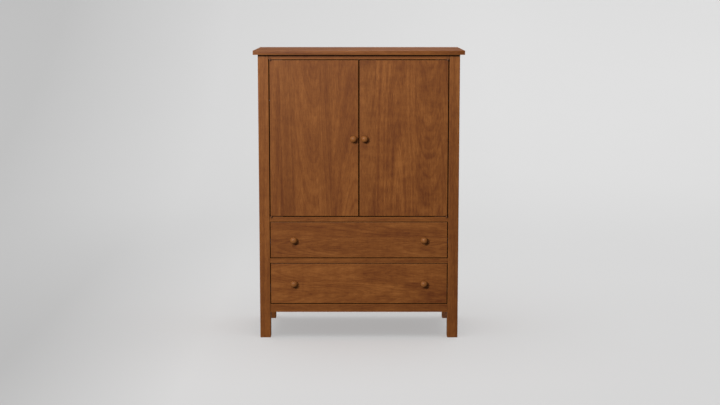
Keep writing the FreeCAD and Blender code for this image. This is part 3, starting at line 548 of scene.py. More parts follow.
# %% Varnish a board
PORE_DARK = 0.35
EDGE_WIDTH, EDGE_WEAR_AND_HIGHLIGHT = 5.0 * MM, 0.5
LACQUER_INDEX, LACQUER_SHINE, FIBRE_GLOSS = 1.47, 0.2, (-0.04, 0.05)
WOOD_BUMP, WOOD_RELIEF = 0.2, 0.3 * MM


def varnished(name, grain, board, heart=0.0, depth=0.0, lean=0.03, ring=0.005, wander=0.014,
              tone=1.0, joints=(), strength=1.0, box=None, stops=STAINED, gloss=0.50,
              curl=GRAIN_SHARES["Curl"], gaps=None, stain=()):
    """One lacquered board, or several glued edge to edge when joints are given. The edges are painted
    paler where a box is given, for wear and as a painted highlight, and gaps is the share of the
    painted gap shade that a flat front takes."""
    material, tree, shader, where = new_material(name)
    place = where.outputs["Object"]
    turned = grain_place(tree, place, grain)
    along, across, _ = split(tree, turned)
    sawn = {"Board": board, "Heart": heart, "Depth": depth, "Lean": lean, "Tone": tone}
    for label, values in sawn.items():
        if isinstance(values, tuple):
            sawn[label] = by_board(tree, across, joints, values)
    tone = sawn.pop("Tone")
    figure = place_group(tree, WOOD_GRAIN, Place=turned, Ring=ring, Wander=wander, **sawn)
    shade = shade_of_grain(tree, figure, strength, curl)
    if stain:
        shade = calc(tree, "ADD", shade, blotches(tree, across, along, stain))
    deep, middle, pale = stops
    colour = colour_ramp(tree, shade, ((0.0, deep), (0.5, middle), (1.0, pale)))
    pores = calc(tree, "MULTIPLY", figure["Pores"], PORE_DARK)
    colour = mixed(tree, pores, colour, deep, "MULTIPLY")
    colour = mixed(tree, end_grain(tree, where, grain), colour, deep, "MULTIPLY")
    # Edges painted lighter: part wear, part painted highlight where the eased edges catch the light.
    if box:
        edge = place_group(tree, BOARD_EDGES, Place=place, Low=box[0], High=box[1],
                           Width=EDGE_WIDTH)
        colour = mixed(tree, calc(tree, "MULTIPLY", edge["Edge"], EDGE_WEAR_AND_HIGHLIGHT), colour, pale)
    # Painted shade in the gaps, from how near the next board stands.
    if gaps is not None:
        dark = tuple(level * GAP_SHADE_PAINT for level in deep[:3]) + (1.0,)
        colour = mixed(tree, painted_gap_shade(tree, where, gaps), colour, dark)
    rough = spread(tree, figure["Fibre"], 0.0, 1.0, gloss + FIBRE_GLOSS[0], gloss + FIBRE_GLOSS[1])
    finish_surface(tree, shader, scaled(tree, colour, tone), rough, figure["Relief"], WOOD_BUMP,
                   WOOD_RELIEF)
    shader.inputs["IOR"].default_value = LACQUER_INDEX
    shader.inputs["Specular IOR Level"].default_value = LACQUER_SHINE
    return material


def dress_wood(node, name, grain, board, paled=False, **look):
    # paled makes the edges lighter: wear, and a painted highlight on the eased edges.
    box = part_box(node) if paled else None
    return dress(node, varnished(name, grain, board, box=box, **look))


print("relief under the lacquer:", round(WOOD_RELIEF / MM, 2), "mm")

# %% [markdown]
# ## The left door
#
# Each door is a panel of boards glued edge to edge, with the grain upright. The left one has five.
# They differ in width and in colour, and the middle one has its heart leaning towards the face, so
# a row of pointed arches climbs it. One even veneer would be easier, but it would look like print;
# unequal boards and a few blotches look sawn.

# %% Dress the left door
LEFT_DOOR_JOINTS = (-0.400, -0.324, -0.2026, -0.1366)
LEFT_DOOR_STAIN = (
    ((-0.47, -0.37, 0.03), (1.22, 1.60, 0.12), 0.10),
    ((-0.400, -0.324, 0.004), (0.40, 0.86, 0.22), -0.18),
    ((-0.322, -0.285, 0.008), (0.40, 0.88, 0.12), 0.10),
    ((-0.1366, -0.085, 0.006), (0.40, 0.80, 0.08), -0.18),
    ((-0.25, -0.19, 0.02), (0.60, 0.90, 0.10), 0.10),
    ((-0.085, 0.01, 0.01), (0.40, 0.92, 0.08), 0.14))
dress_wood("left_door", "left_door_boards", "Z", ring=0.0042, strength=0.86, paled=True,
           gaps=MOVING_FRONT_SHARE, stain=LEFT_DOOR_STAIN,
           **glued(LEFT_DOOR_JOINTS,
                   (1.3, -0.47, -0.05, 0.02, 1.0),
                   (2.1, -0.25, -0.12, 0.03, 0.97),
                   (3.4, -0.232, -0.4715, -0.085, 1.0),
                   (4.2, -0.05, 0.06, 0.02, 0.99),
                   (5.7, -0.02, -0.30, 0.085, 1.03)))
print("left door of", len(LEFT_DOOR_JOINTS) + 1, "boards")

# %% [markdown]
# ## The right door
#
# The right door has four boards of other logs, and more figure: curl and mottled streaks. It could
# be the left one turned round, which would save choosing boards, but two doors that mirror each
# other look stamped. A maker takes what the stack of timber gives and only keeps the tones close.

# %% Dress the right door
RIGHT_DOOR_JOINTS = (0.0867, 0.2897, 0.4166)
RIGHT_DOOR_STAIN = (
    ((-0.01, 0.085, 0.02), (1.395, 1.60, 0.03), -0.18),
    ((0.09, 0.14, 0.012), (1.28, 1.60, 0.06), 0.10),
    ((0.135, 0.18, 0.014), (1.03, 1.32, 0.08), -0.14),
    ((0.20, 0.2897, 0.006), (0.85, 1.03, 0.06), 0.14),
    ((0.2897, 0.36, 0.006), (0.58, 0.95, 0.06), -0.18),
    ((-0.01, 0.14, 0.02), (0.50, 0.75, 0.05), -0.14),
    ((0.172, 0.212, 0.012), (0.50, 0.73, 0.04), -0.18),
    ((0.4166, 0.60, 0.004), (1.10, 1.60, 0.10), -0.10))
dress_wood("right_door", "right_door_boards", "Z", ring=0.0046, curl=0.16, paled=True,
           gaps=MOVING_FRONT_SHARE, stain=RIGHT_DOOR_STAIN,
           **glued(RIGHT_DOOR_JOINTS,
                   (11.2, 0.02, 0.05, 0.02, 0.97),
                   (12.9, 0.20, -0.24, 0.05, 1.03),
                   (13.5, 0.36, -0.52, -0.085, 1.02),
                   (14.1, 0.5, 0.05, 0.02, 0.98)))
print("right door of", len(RIGHT_DOOR_JOINTS) + 1, "boards")

# %% [markdown]
# ## The drawer fronts
#
# Both fronts are glued up from two wide boards with the grain level. Upright grain would carry the
# figure of the doors on downwards, but wood swells across its grain and hardly along it, so a maker
# runs the grain the long way of the front, and the front keeps its length.

# %% Dress the drawer fronts
UPPER_DRAWER_STAIN = (
    ((0.575, 0.70, 0.012), (0.05, 0.40, 0.06), 0.10),
    ((0.44, 0.485, 0.010), (-0.18, 0.02, 0.05), -0.12),
    ((0.540, 0.552, 0.004), (0.12, 0.34, 0.04), -0.16),
    ((0.497, 0.505, 0.003), (0.28, 0.50, 0.03), -0.14))
LOWER_DRAWER_STAIN = (
    ((0.29, 0.375, 0.012), (-0.28, -0.02, 0.05), 0.16),
    ((0.2905, 0.385, 0.003), (0.02, 0.26, 0.04), -0.16),
    ((0.225, 0.2895, 0.004), (0.00, 0.25, 0.03), 0.14),
    ((0.10, 0.232, 0.006), (0.25, 0.60, 0.05), -0.14),
    ((0.05, 0.40, 0.02), (-0.50, -0.27, 0.05), 0.07))
dress_wood("upper_drawer_front", "upper_drawer_boards", "X", paled=True,
           gaps=MOVING_FRONT_SHARE, stain=UPPER_DRAWER_STAIN,
           **glued((0.523,), (21.4, 0.47, -0.16, 0.06, 0.98), (22.8, 0.60, -0.12, 0.03, 1.0)))
dress_wood("lower_drawer_front", "lower_drawer_boards", "X", paled=True, curl=0.12,
           gaps=MOVING_FRONT_SHARE, stain=LOWER_DRAWER_STAIN,
           **glued((0.290,), (23.1, 0.22, -0.12, -0.05, 1.04), (24.6, 0.34, -0.19, 0.08, 1.04)))
print("drawer fronts dressed")

# %% [markdown]
# ## Posts and rails
#
# Posts are square blanks sawn with the rings nearly upright, so their faces are finely streaked;
# the heart lies far outside them. Rails and apron run from post to post with the grain level. Each
# could be dressed by a line of its own, but they differ by little, so they are rows of a table: a
# node, and the tone of its wood.

# %% Dress the posts and the rails
ALL_ACROSS, POST_TOP_LIGHT = (-9.0, 9.0, 0.01), (1.20, 1.60, 0.16)
POST_HEART, RAIL_HEART_BELOW = 0.62, 0.13
# node, tone, how much paler its top is painted, as painted light that falls stronger up there
POSTS = (("front_left_post", 1.0, 0.16), ("front_right_post", 0.97, 0.26),
         ("rear_left_post", 0.97, 0.10), ("rear_right_post", 0.96, 0.10))
RAILS = (("top_front_rail", 1.0), ("top_rear_rail", 0.97), ("door_rail", 1.0),
         ("drawer_rail", 0.96), ("front_apron", 0.95), ("bottom_rear_rail", 0.95))
# The apron is made darker towards its right end.
APRON_RIGHT_DARKER = ((ALL_ACROSS, (0.20, 0.60, 0.10), -0.14),)


def case_gaps(node):
    """The rear of the case has no gaps that are seen."""
    return None if "rear" in node else CASE_FRONT_SHARE


# The tops of the posts are painted paler: painted light, where more of the lamps' light falls.
for index, (node, tone, paler) in enumerate(POSTS):
    side = -1 if "left" in node else 1
    dress_wood(node, node + "_wood", "Z", 31.0 + 1.7 * index, heart=side * POST_HEART, depth=0.05,
               lean=0.004, ring=0.0034, wander=0.010, tone=tone, paled=True, gaps=case_gaps(node),
               stain=((ALL_ACROSS, POST_TOP_LIGHT, paler),))
for index, (node, tone) in enumerate(RAILS):
    dress_wood(node, node + "_wood", "X", 41.0 + 2.3 * index,
               heart=middle_height(node) - RAIL_HEART_BELOW, depth=-0.02, lean=0.01, ring=0.0038,
               wander=0.012, tone=tone, paled=True, gaps=case_gaps(node),
               stain=APRON_RIGHT_DARKER if "apron" in node else ())
print("posts:", len(POSTS), "rails:", len(RAILS))

# %% [markdown]
# ## Slab, sides and shelves
#
# The slab, the side panels, the deck under the television and the shelf behind the doors are glued
# from wide boards as the doors are. They lie flat or stand in the ends, so only the way of the
# grain changes. The battens behind the doors are sawn from the offcuts of the door boards.

# %% Dress the slab, the sides and the inside
SLAB_WOOD = dress_wood("top_slab", "top_slab_boards", "flat", paled=True,
                       **glued((-0.13, 0.02, 0.16),
                               (51.2, -0.21, 1.36, 0.04, 0.97), (52.6, -0.04, 1.58, -0.05, 0.95),
                               (53.3, 0.10, 1.33, 0.06, 1.0), (54.9, 0.21, 1.38, 0.03, 0.96)))
for side, number in (("left", 61.0), ("right", 66.0)):
    dress_wood(side + "_side_panel", side + "_side_boards", "side",
               **glued((-0.07, 0.06), (number, -0.14, 0.40, 0.05, 1.0),
                       (number + 1.3, 0.0, 0.60, 0.07, 0.97),
                       (number + 2.9, 0.15, 0.42, -0.04, 1.02)))
    dress_wood(side + "_side_rails", side + "_side_rail_wood", "Y", number + 4.1, heart=0.2,
               depth=0.4, lean=0.01)
dress_wood("tv_deck", "tv_deck_boards", "flat", gloss=0.52,
           **glued((-0.05, 0.10), (71.0, -0.12, 0.52, 0.04), (72.7, 0.03, 0.72, 0.06),
                   (73.2, 0.17, 0.55, 0.05)))
dress_wood("adjustable_shelf", "shelf_boards", "flat", gloss=0.52,
           **glued((-0.04, 0.12), (75.3, -0.12, 1.12, 0.04), (76.1, 0.03, 1.32, 0.05),
                   (77.4, 0.17, 1.14, 0.05)))
dress_wood("side_cleats", "cleat_wood", "Y", 79.0, heart=0.1, depth=0.3, lean=0.01)
for side, number in (("left", 81.0), ("right", 84.0)):
    dress_wood(side + "_door_battens", side + "_batten_wood", "X", number, heart=0.6, depth=0.1,
               lean=0.01)
print("slab, sides and inside dressed")

# %% [markdown]
# ## Pale wood and plywood
#
# Drawer boxes are left in a pale hardwood under clear lacquer: nobody pays for stain inside a
# drawer, and it would rub off on linen. The drawer bottoms, the dust panel and the back are thin
# plywood: their faces are peeled from the log, so the rings are wide and the figure is soft. The
# back is stained like the rest, only more thinly. The same recipe does it all, with other paints.

# %% Dress the boxes and the thin panels
PALE_BOX = (paint(170, 132, 88), paint(208, 172, 124), paint(226, 196, 150))
PALE_PLY = (paint(176, 138, 92), paint(205, 168, 118), paint(220, 188, 140))
BACK_STAIN = (paint(92, 54, 30), paint(122, 78, 46), paint(146, 98, 60))
PEELED = {"depth": -0.2, "lean": 0.08, "ring": 0.012, "wander": 0.05, "strength": 0.6}
for level, number in (("upper", 91.0), ("lower", 95.0)):
    for part, grain, extra in (("_box_front", "X", 0.3), ("_box_back", "X", 1.2),
                               ("_box_sides", "Y", 2.3)):
        dress_wood(level + part, level + part + "_wood", grain, number + extra, heart=0.1,
                   depth=0.4, lean=0.01, stops=PALE_BOX, strength=0.7)
    dress_wood(level + "_box_bottom", level + "_bottom_ply", "flat", number + 3.4,
               stops=PALE_PLY, gloss=0.52, **PEELED)
dress_wood("dust_panel", "dust_ply", "flat", 99.2, stops=BACK_STAIN, gloss=0.55, **PEELED)
for node, number in (("upper_back_panel", 101.0), ("lower_back_panel", 103.0)):
    dress_wood(node, node + "_ply", "Z", number, lean=0.06, ring=0.014, wander=0.05,
               stops=BACK_STAIN, strength=0.8)
print("boxes and thin panels dressed")

# %% [markdown]
# ## The skin of metal
#
# A plain metal with one roughness looks like a mirror in fog. Real ones carry fine scratches and a
# soft tarnish in clouds. Each metal could have noises of its own, but all of them share these two,
# so they are one group, and the way that the scratches run is one of its inputs.

# %% Build the metal skin group
TARNISH_SCALE = (90.0, 90.0, 90.0)


def build_metal_skin():
    group, given, result = new_group(
        "Metal skin", (("Place", "Vector", None), ("Brush", "Vector", (1.0, 1.0, 1.0))),
        ("Scratches", "Tarnish", "Relief"))
    combed = vector_calc(group, "MULTIPLY", given["Place"], given["Brush"])
    lines = add_node(group, "TexNoise", combed, None, 1.0, 4.0, 0.6).outputs[0]
    cloud = stretched_noise(group, given["Place"], TARNISH_SCALE, 3.0).outputs[0]
    scratches = spread(group, lines, 0.3, 0.7)
    group.links.new(scratches, result["Scratches"])
    group.links.new(spread(group, cloud, 0.35, 0.7), result["Tarnish"])
    group.links.new(scratches, result["Relief"])
    return group


METAL_SKIN = build_metal_skin()
print("metal skin nodes:", len(METAL_SKIN.nodes))

# %% [markdown]
# ## Brass, zinc and steel
#
# The knife hinges are brass, rubbed along their length; bolts, pins and strike plates are bright
# zinc, tumbled in a drum, so their scratches run no special way; the slides are rolled steel with a
# zinc skin. The brass is browned until its skin hardly shines. A dark metal would still mirror the
# pale room, so it is shaded as a coat that hides the metal.

# %% Dress the metal
TARNISH_DULLS, SCRATCHES_DULL = 0.6, 0.4
METAL_BUMP, METAL_RELIEF = 0.08, 0.1 * MM


def metal(name, bright, dull, brush, rough, bare=1.0):
    """A metal that is combed along one direction and dulled in soft clouds; bare is 0 under paint."""
    material, tree, shader, where = new_material(name)
    skin = place_group(tree, METAL_SKIN, Place=where.outputs["Object"], Brush=brush)
    low, high = rough
    dulled = calc(tree, "ADD",
                  calc(tree, "MULTIPLY", skin["Tarnish"], (high - low) * TARNISH_DULLS),
                  calc(tree, "MULTIPLY", skin["Scratches"], (high - low) * SCRATCHES_DULL))
    finish_surface(tree, shader, mixed(tree, skin["Tarnish"], bright, dull),
                   calc(tree, "ADD", dulled, low), skin["Relief"], METAL_BUMP, METAL_RELIEF)
    shader.inputs["Metallic"].default_value = bare
    return material


BROWNED_BRASS = metal("browned_brass", paint(112, 66, 34), paint(88, 50, 26),
                      (60.0, 1500.0, 1500.0), (0.35, 0.5), bare=0.0)
ZINC = metal("bright_zinc", paint(200, 202, 205), paint(150, 152, 156), (400.0, 400.0, 400.0),
             (0.22, 0.4))
SLIDE_STEEL = metal("slide_zinc", paint(186, 188, 190), paint(132, 134, 138),
                    (1500.0, 30.0, 1500.0), (0.3, 0.5))
for node in ("hinge_case_leaves", "left_door_leaves", "right_door_leaves", "hinge_pins"):
    dress(node, BROWNED_BRASS)
for node in ("left_strike_plate", "right_strike_plate", "shelf_pins", "left_door_knob_bolt",
             "right_door_knob_bolt", "upper_drawer_knob_bolts", "lower_drawer_knob_bolts"):
    dress(node, ZINC)
for level in ("upper", "lower"):
    for part in ("case_members", "drawer_members", "middle_members", "ball_cages"):
        dress(level + "_slide_" + part, SLIDE_STEEL)
print("metals:", BROWNED_BRASS.name, ZINC.name, SLIDE_STEEL.name)

# %% [markdown]
# ## Plastic
#
# The cable grommets in the back and the catch under the top rail are moulded in dark brown
# plastic. Left smooth, they would look wet. A mould is cut by sparks, which leaves a fine even
# grain on all that comes out of it, so a very small noise bumps the surface; a larger one pales it
# in patches, as handling does.

# %% Dress the plastic pieces
SPARK_SCALE, WORN_SCALE = (2200.0, 2200.0, 2200.0), (60.0, 60.0, 60.0)
WORN_PALER, SPARK_GLOSS = 1.35, (-0.06, 0.08)
SPARK_BUMP, SPARK_RELIEF = 0.4, 0.1 * MM


def moulded(name, colour, rough):
    material, tree, shader, where = new_material(name)
    spark = stretched_noise(tree, where.outputs["Object"], SPARK_SCALE).outputs[0]
    cloud = stretched_noise(tree, where.outputs["Object"], WORN_SCALE).outputs[0]
    paled = tuple(min(1.0, level * WORN_PALER) for level in colour[:3]) + (1.0,)
    finish_surface(tree, shader, mixed(tree, spread(tree, cloud, 0.35, 0.75), colour, paled),
                   spread(tree, spark, 0.3, 0.7, rough + SPARK_GLOSS[0], rough + SPARK_GLOSS[1]),
                   spark, SPARK_BUMP, SPARK_RELIEF)
    return material


dress("cable_grommets", moulded("grommet_brown", paint(46, 34, 27), 0.5))
dress("magnetic_catch", moulded("catch_brown", paint(70, 50, 38), 0.45))
print("plastic dressed")

# %% [markdown]
# ## A lathe
#
# Knobs, bolts and pins are turned on a lathe, so a lathe makes them here too: a row of (radius,
# distance out) pairs is swept round an axis. A screw modifier on a curve would give the same; rings
# of vertices joined in code let several turned pieces share one mesh, so that both knobs of a
# drawer ride on it together.

# %% Build the lathe
TURNED_SIDES = 56


def directions_of(facing):
    """The axis that a turned piece looks along, and two directions across it."""
    axis = Vector(facing).normalized()
    first = axis.orthogonal().normalized()
    return axis, first, axis.cross(first)


def skin_between(mesh, lower, upper):
    """Joins two closed rings of vertices with a band of faces."""
    for step in range(len(lower)):
        after = (step + 1) % len(lower)
        mesh.faces.new((lower[step], lower[after], upper[after], upper[step]))


def lathe(mesh, centre, facing, profile, sides=TURNED_SIDES):
    """Sweeps (radius, out) pairs round an axis and closes both ends."""
    axis, first, second = directions_of(facing)
    rings = []
    for radius, out in profile:
        ring = []
        for step in range(sides):
            turn = 2 * math.pi * step / sides
            arm = first * math.cos(turn) + second * math.sin(turn)
            ring.append(mesh.verts.new(Vector(centre) + axis * out + arm * radius))
        rings.append(ring)
    for inner, outer in zip(rings, rings[1:]):
        skin_between(mesh, inner, outer)
    mesh.faces.new(list(reversed(rings[0])))
    mesh.faces.new(rings[-1])


print("lathe with", TURNED_SIDES, "sides")

# %% [markdown]
# ## From a mesh to a piece
#
# A finished mesh still has to be told what it belongs to: the body that it moves with, its finish, and
# the plain solid that it stands for. Shading every face smooth would blur the rim of a foot, and flat
# shading would show the sides of the lathe, so only angles below a limit are smoothed.

# %% Helper for a new piece
SOFT_BELOW = 35.0


def new_piece(name, mesh, body, material, replaced=()):
    """Turns a finished mesh into a piece that rides on a body."""
    bmesh.ops.recalc_face_normals(mesh, faces=mesh.faces)
    data = bpy.data.meshes.new(name)
    mesh.to_mesh(data)
    mesh.free()
    data.shade_smooth()
    data.set_sharp_from_angle(angle=math.radians(SOFT_BELOW))
    data.materials.append(material)
    piece = put_in_scene(name, data)
    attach(piece, body)
    if replaced:
        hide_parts(*replaced)
    return piece


print("shading is smooth below", SOFT_BELOW, "degrees")

# %% [markdown]
# ## The knobs
#
# Each knob has a small foot, a slim neck, a lip behind the head and a domed front. It could be a
# squashed ball on a peg, but then it would lack the lip that catches the shade. The profile is
# drawn in millimetres from the face outwards instead: the cove and the head are arcs, and only what
# lies between them is straight.

# %% Draw the profile of a knob
FOOT_RADIUS, FOOT_THICK, FOOT_EASE = 10.5, 2.0, 0.6
COVE_STEP, COVE_LONG = 0.8, 2.6
NECK_RADIUS, NECK_END, NECK_FLARE = 8.0, 8.4, 0.2
HEAD_BACK, HEAD_WIDEST, HEAD_RADIUS, KNOB_REACH = 8.2, 14.5, 17.8, 31.0
HEAD_TURNS, COVE_TURNS = range(-56, 88, 8), range(0, 91, 15)


def knob_profile():
    """From the face outwards: foot, cove, neck, round back of the head, widest line, dome."""
    profile = [(FOOT_RADIUS - FOOT_EASE, 0.0), (FOOT_RADIUS, FOOT_EASE), (FOOT_RADIUS, FOOT_THICK)]
    cove_wide = FOOT_RADIUS - COVE_STEP - NECK_RADIUS
    for turn in COVE_TURNS:
        angle = math.radians(turn)
        profile.append((NECK_RADIUS + cove_wide * (1 - math.sin(angle)),
                        FOOT_THICK + FOOT_EASE + COVE_LONG * (1 - math.cos(angle))))
    profile.append((NECK_RADIUS + NECK_FLARE, NECK_END))
    for turn in HEAD_TURNS:
        angle = math.radians(turn)
        deep = HEAD_WIDEST - HEAD_BACK if turn < 0 else KNOB_REACH - HEAD_WIDEST
        profile.append((HEAD_RADIUS * math.cos(angle), HEAD_WIDEST + deep * math.sin(angle)))
    return [(radius * MM, out * MM) for radius, out in profile]


print("knob profile:", len(knob_profile()), "points, reach", round(knob_profile()[-1][1] / MM, 2), "mm")

# %% [markdown]
# ## Six knobs from one profile
#
# A door carries one knob and a drawer two. Each could be placed by hand, but the joinery already
# says where it sits: in the middle of a narrow solid, or at both ends of a wide one. The blanks are
# sawn with the grain upright. Polished on the lathe, they come out paler and glossier than the
# doors.

# %% Turn the knobs
KNOB_STAIN = (paint(98, 56, 22), paint(124, 76, 36), paint(146, 96, 52))
KNOB_TONE, KNOB_GLOSS, KNOB_HEART_OFF = 1.20, 0.42, 0.05


def centres_along(node, radius):
    """Where turned pieces stand along X: one in the middle, or a pair at the ends of the node."""
    low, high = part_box(node)
    if high.x - low.x > 4 * radius:
        return (low.x + radius, high.x - radius)
    return ((low.x + high.x) / 2,)


def turn_knobs(node, body, board):
    low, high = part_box(node)
    height = middle_height(node)
    centres = centres_along(node, (high.z - low.z) / 2)
    mesh = bmesh.new()
    for x in centres:
        lathe(mesh, (x, FACE, height), (0, -1, 0), knob_profile())
    wood = varnished(node + "_wood", "Z", board, heart=centres[-1] - KNOB_HEART_OFF, depth=-0.05,
                     lean=0.0, ring=0.0035, wander=0.006, tone=KNOB_TONE, strength=0.8,
                     gloss=KNOB_GLOSS, stops=KNOB_STAIN)
    new_piece(node + "_turned", mesh, body, wood, (node,))
    print(node, "turned at", [round(x, 3) for x in centres], "height", round(height, 4))


turn_knobs("left_door_knob", "left_door_leaf", 111.0)
turn_knobs("right_door_knob", "right_door_leaf", 112.6)
turn_knobs("upper_drawer_knobs", "upper_drawer", 113.9)
turn_knobs("lower_drawer_knobs", "lower_drawer", 115.1)

# %% [markdown]
# ## The top slab
#
# The slab overhangs the case all round. Its upper edges are rubbed round with a block and its
# lower ones only broken with a stroke of paper, which keeps a crisp line of shade under it. A
# bevel modifier would round all twelve edges alike; two bevels of few segments, one for each kind
# of edge, keep them apart.

# %% Plane the top slab
SLAB_ROUND, SLAB_BREAK, EASE_STEPS = 1.6 * MM, 0.6 * MM, 4
SQUARE_EDGE = 60.0


def lies_at(edge, height):
    return all(abs(end.co.z - height) < MM for end in edge.verts)


def ease(mesh, edges, size):
    bmesh.ops.bevel(mesh, geom=edges, offset=size, segments=EASE_STEPS, profile=0.5,
                    affect="EDGES")


def eased_board(low, high):
    """A squared board with its upper edges rounded and the other edges just broken."""
    mesh = bmesh.new()
    bmesh.ops.create_cube(mesh, size=1.0)
    for corner in mesh.verts:
        corner.co = [low[axis] if corner.co[axis] < 0 else high[axis] for axis in range(3)]
    ease(mesh, [edge for edge in mesh.edges if lies_at(edge, high.z)], SLAB_ROUND)
    square = math.radians(SQUARE_EDGE)
    ease(mesh, [edge for edge in mesh.edges
                if lies_at(edge, low.z) or edge.calc_face_angle(0.0) > square], SLAB_BREAK)
    return mesh


slab = new_piece("top_slab_planed", eased_board(*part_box("top_slab")), "case",
                 SLAB_WOOD, ("top_slab",))
print("slab", [round(side, 4) for side in slab.dimensions])

# %% [markdown]
# ## Screw heads
#
# Each screw head is a shallow disc with a cross driven into it. A boolean could cut the cross, but
# it leaves untidy faces on something so small. Here the cross is a closed outline inside the rim:
# the ring between the two is filled, and the outline is pushed down and capped.

# %% Build a screw head
RIM_SIDES = 20
CROSS_LONG, CROSS_WIDE, CROSS_FLOOR, CROSS_TAPER = 0.58, 0.15, 0.2, 0.8
SHOULDER_HEIGHT, CROWN_SHARE = 0.45, 0.82
CROSS_ARM = ((CROSS_LONG, -CROSS_WIDE), (CROSS_LONG, CROSS_WIDE), (CROSS_WIDE, CROSS_WIDE))


def cross_screw(mesh, centre, facing, radius, proud, turn):
    """A screw head that stands proud of a face, with its cross turned by some angle."""
    axis, first, second = directions_of(facing)

    def loop(points, size, out):
        ring = []
        for a, b in points:
            a, b = a * size, b * size
            across = (first * (a * math.cos(turn) - b * math.sin(turn))
                      + second * (a * math.sin(turn) + b * math.cos(turn)))
            ring.append(mesh.verts.new(Vector(centre) + axis * out + across * radius))
        return ring

    def closed(ring):
        return [mesh.edges.get(pair) or mesh.edges.new(pair)
                for pair in zip(ring, ring[1:] + ring[:1])]

    rim, cross, arm = [], [], CROSS_ARM
    for step in range(RIM_SIDES):
        angle = 2 * math.pi * step / RIM_SIDES
        rim.append((math.cos(angle), math.sin(angle)))
    for _ in range(4):
        cross += arm
        arm = [(-b, a) for a, b in arm]
    foot = loop(rim, 1.0, 0.0)
    shoulder = loop(rim, 1.0, proud * SHOULDER_HEIGHT)
    crown = loop(rim, CROWN_SHARE, proud)
    mouth = loop(cross, 1.0, proud)
    floor = loop(cross, CROSS_TAPER, proud * CROSS_FLOOR)
    skin_between(mesh, foot, shoulder)
    skin_between(mesh, shoulder, crown)
    skin_between(mesh, floor, mouth)
    mesh.faces.new(floor)
    bmesh.ops.triangle_fill(mesh, edges=closed(crown) + closed(mouth), use_beauty=True)


print("screw head with", RIM_SIDES, "sides and a cross of", 4 * len(CROSS_ARM), "corners")

# %% [markdown]
# ## Driving screws
#
# All the screws that move together are one piece, so a door carries its own. A screwdriver never
# stops twice at the same angle, and rows of crosses that all stand upright look printed, so each
# cross is turned on from the one before.

# %% Helpers that drive screws
FIRST_TURN, NEXT_TURN = 0.3, 0.7


def drive_screws(name, body, places, facing, head, material=ZINC):
    """Drives a screw at each place; facing is one direction, or a function of the place."""
    mesh = bmesh.new()
    radius, proud = head
    for number, place in enumerate(places):
        way = facing(place) if callable(facing) else facing
        cross_screw(mesh, place, way, radius, proud, turn=NEXT_TURN * number + FIRST_TURN)
    new_piece(name, mesh, body, material)
    print(name, len(places))


def away_from(middle, axis, way=1):
    """For screws in two opposite faces: each looks away from the middle, or into it."""
    def facing(place):
        direction = [0, 0, 0]
        direction[axis] = math.copysign(1, way * (place[axis] - middle))
        return direction
    return facing


print("each cross is turned on by", round(math.degrees(NEXT_TURN)), "degrees")

# %% [markdown]
# ## Screws of the doors
#
# Two battens hold each door flat, with four screws each. The strike plate for the magnet has one
# screw in its middle, and the knife hinges have two in each leaf, countersunk flush so that the
# door can close over them. Their places are worked out from the ends of the pieces they hold.

# %% Drive the screws of the doors and the catch
BATTEN_HALF, BATTEN_ENDS = 30.0 * MM, (22.0 * MM, 110.0 * MM)
LEAF_SCREWS, LEAF_MIDDLE = (406.0 * MM, 430.0 * MM), -240.0 * MM
CATCH_INSET, FLUSH = 6.0 * MM, 0.12 * MM
# radius and height of the heads
BATTEN_HEAD, STRIKE_HEAD = (4.2 * MM, 0.9 * MM), (3.2 * MM, FLUSH)
LEAF_HEAD, CATCH_HEAD = (3.4 * MM, FLUSH), (2.6 * MM, 0.5 * MM)
for side, word in ((-1, "left"), (1, "right")):
    low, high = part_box(word + "_door_battens")
    places = [(x, high.y, z) for z in (low.z + BATTEN_HALF, high.z - BATTEN_HALF)
              for end in BATTEN_ENDS for x in (low.x + end, high.x - end)]
    drive_screws(word + "_batten_screws", word + "_door_leaf", places, (0, 1, 0), BATTEN_HEAD)
    low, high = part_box(word + "_strike_plate")
    places = [((low.x + high.x) / 2, high.y, (low.z + high.z) / 2)]
    drive_screws(word + "_strike_screw", word + "_door_leaf", places, (0, 1, 0), STRIKE_HEAD)
    low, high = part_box(word + "_door_leaves")
    places = [(side * x, LEAF_MIDDLE, z) for x in LEAF_SCREWS for z in (low.z, high.z)]
    drive_screws(word + "_leaf_screws", word + "_door_leaf", places,
                 away_from((low.z + high.z) / 2, 2), LEAF_HEAD, BROWNED_BRASS)
low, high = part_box("magnetic_catch")
places = [(side * (high.x - CATCH_INSET), (low.y + high.y) / 2, low.z) for side in (-1, 1)]
drive_screws("catch_screws", "case", places, (0, 0, -1), CATCH_HEAD)

# %% [markdown]
# ## Screws of the back
#
# The thin back is screwed on all round, every fifteen centimetres or so. A fixed pitch would leave
# a short step at one end of each row, so the number of screws is worked out from the pitch and
# they are then spread evenly over the panel.

# %% Drive the screws of the back
BACK_INSET, BACK_PITCH, BACK_HEAD = 9.0 * MM, 155.0 * MM, (3.6 * MM, 0.9 * MM)
places = []
for panel in ("lower_back_panel", "upper_back_panel"):
    low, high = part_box(panel)
    bottom, ceiling = low.z + BACK_INSET, high.z - BACK_INSET
    rows = max(2, round((ceiling - bottom) / BACK_PITCH))
    for step in range(rows + 1):
        z = bottom + (ceiling - bottom) * step / rows
        places += [(side * (high.x - BACK_INSET), high.y, z) for side in (-1, 1)]
    columns = round(2 * high.x / BACK_PITCH)
    for step in range(1, columns):
        x = (high.x - BACK_INSET) * (2 * step / columns - 1)
        places += [(x, high.y, bottom), (x, high.y, ceiling)]
drive_screws("back_panel_screws", "case", places, (0, 1, 0), BACK_HEAD)

# %% [markdown]
# ## Screws of the drawers
#
# A drawer front is screwed on from inside its box, so those heads show when the drawer is open. The
# slides are screwed to the box and to the case through their thin webs, and each head lies inside
# the channel, clear of the balls.

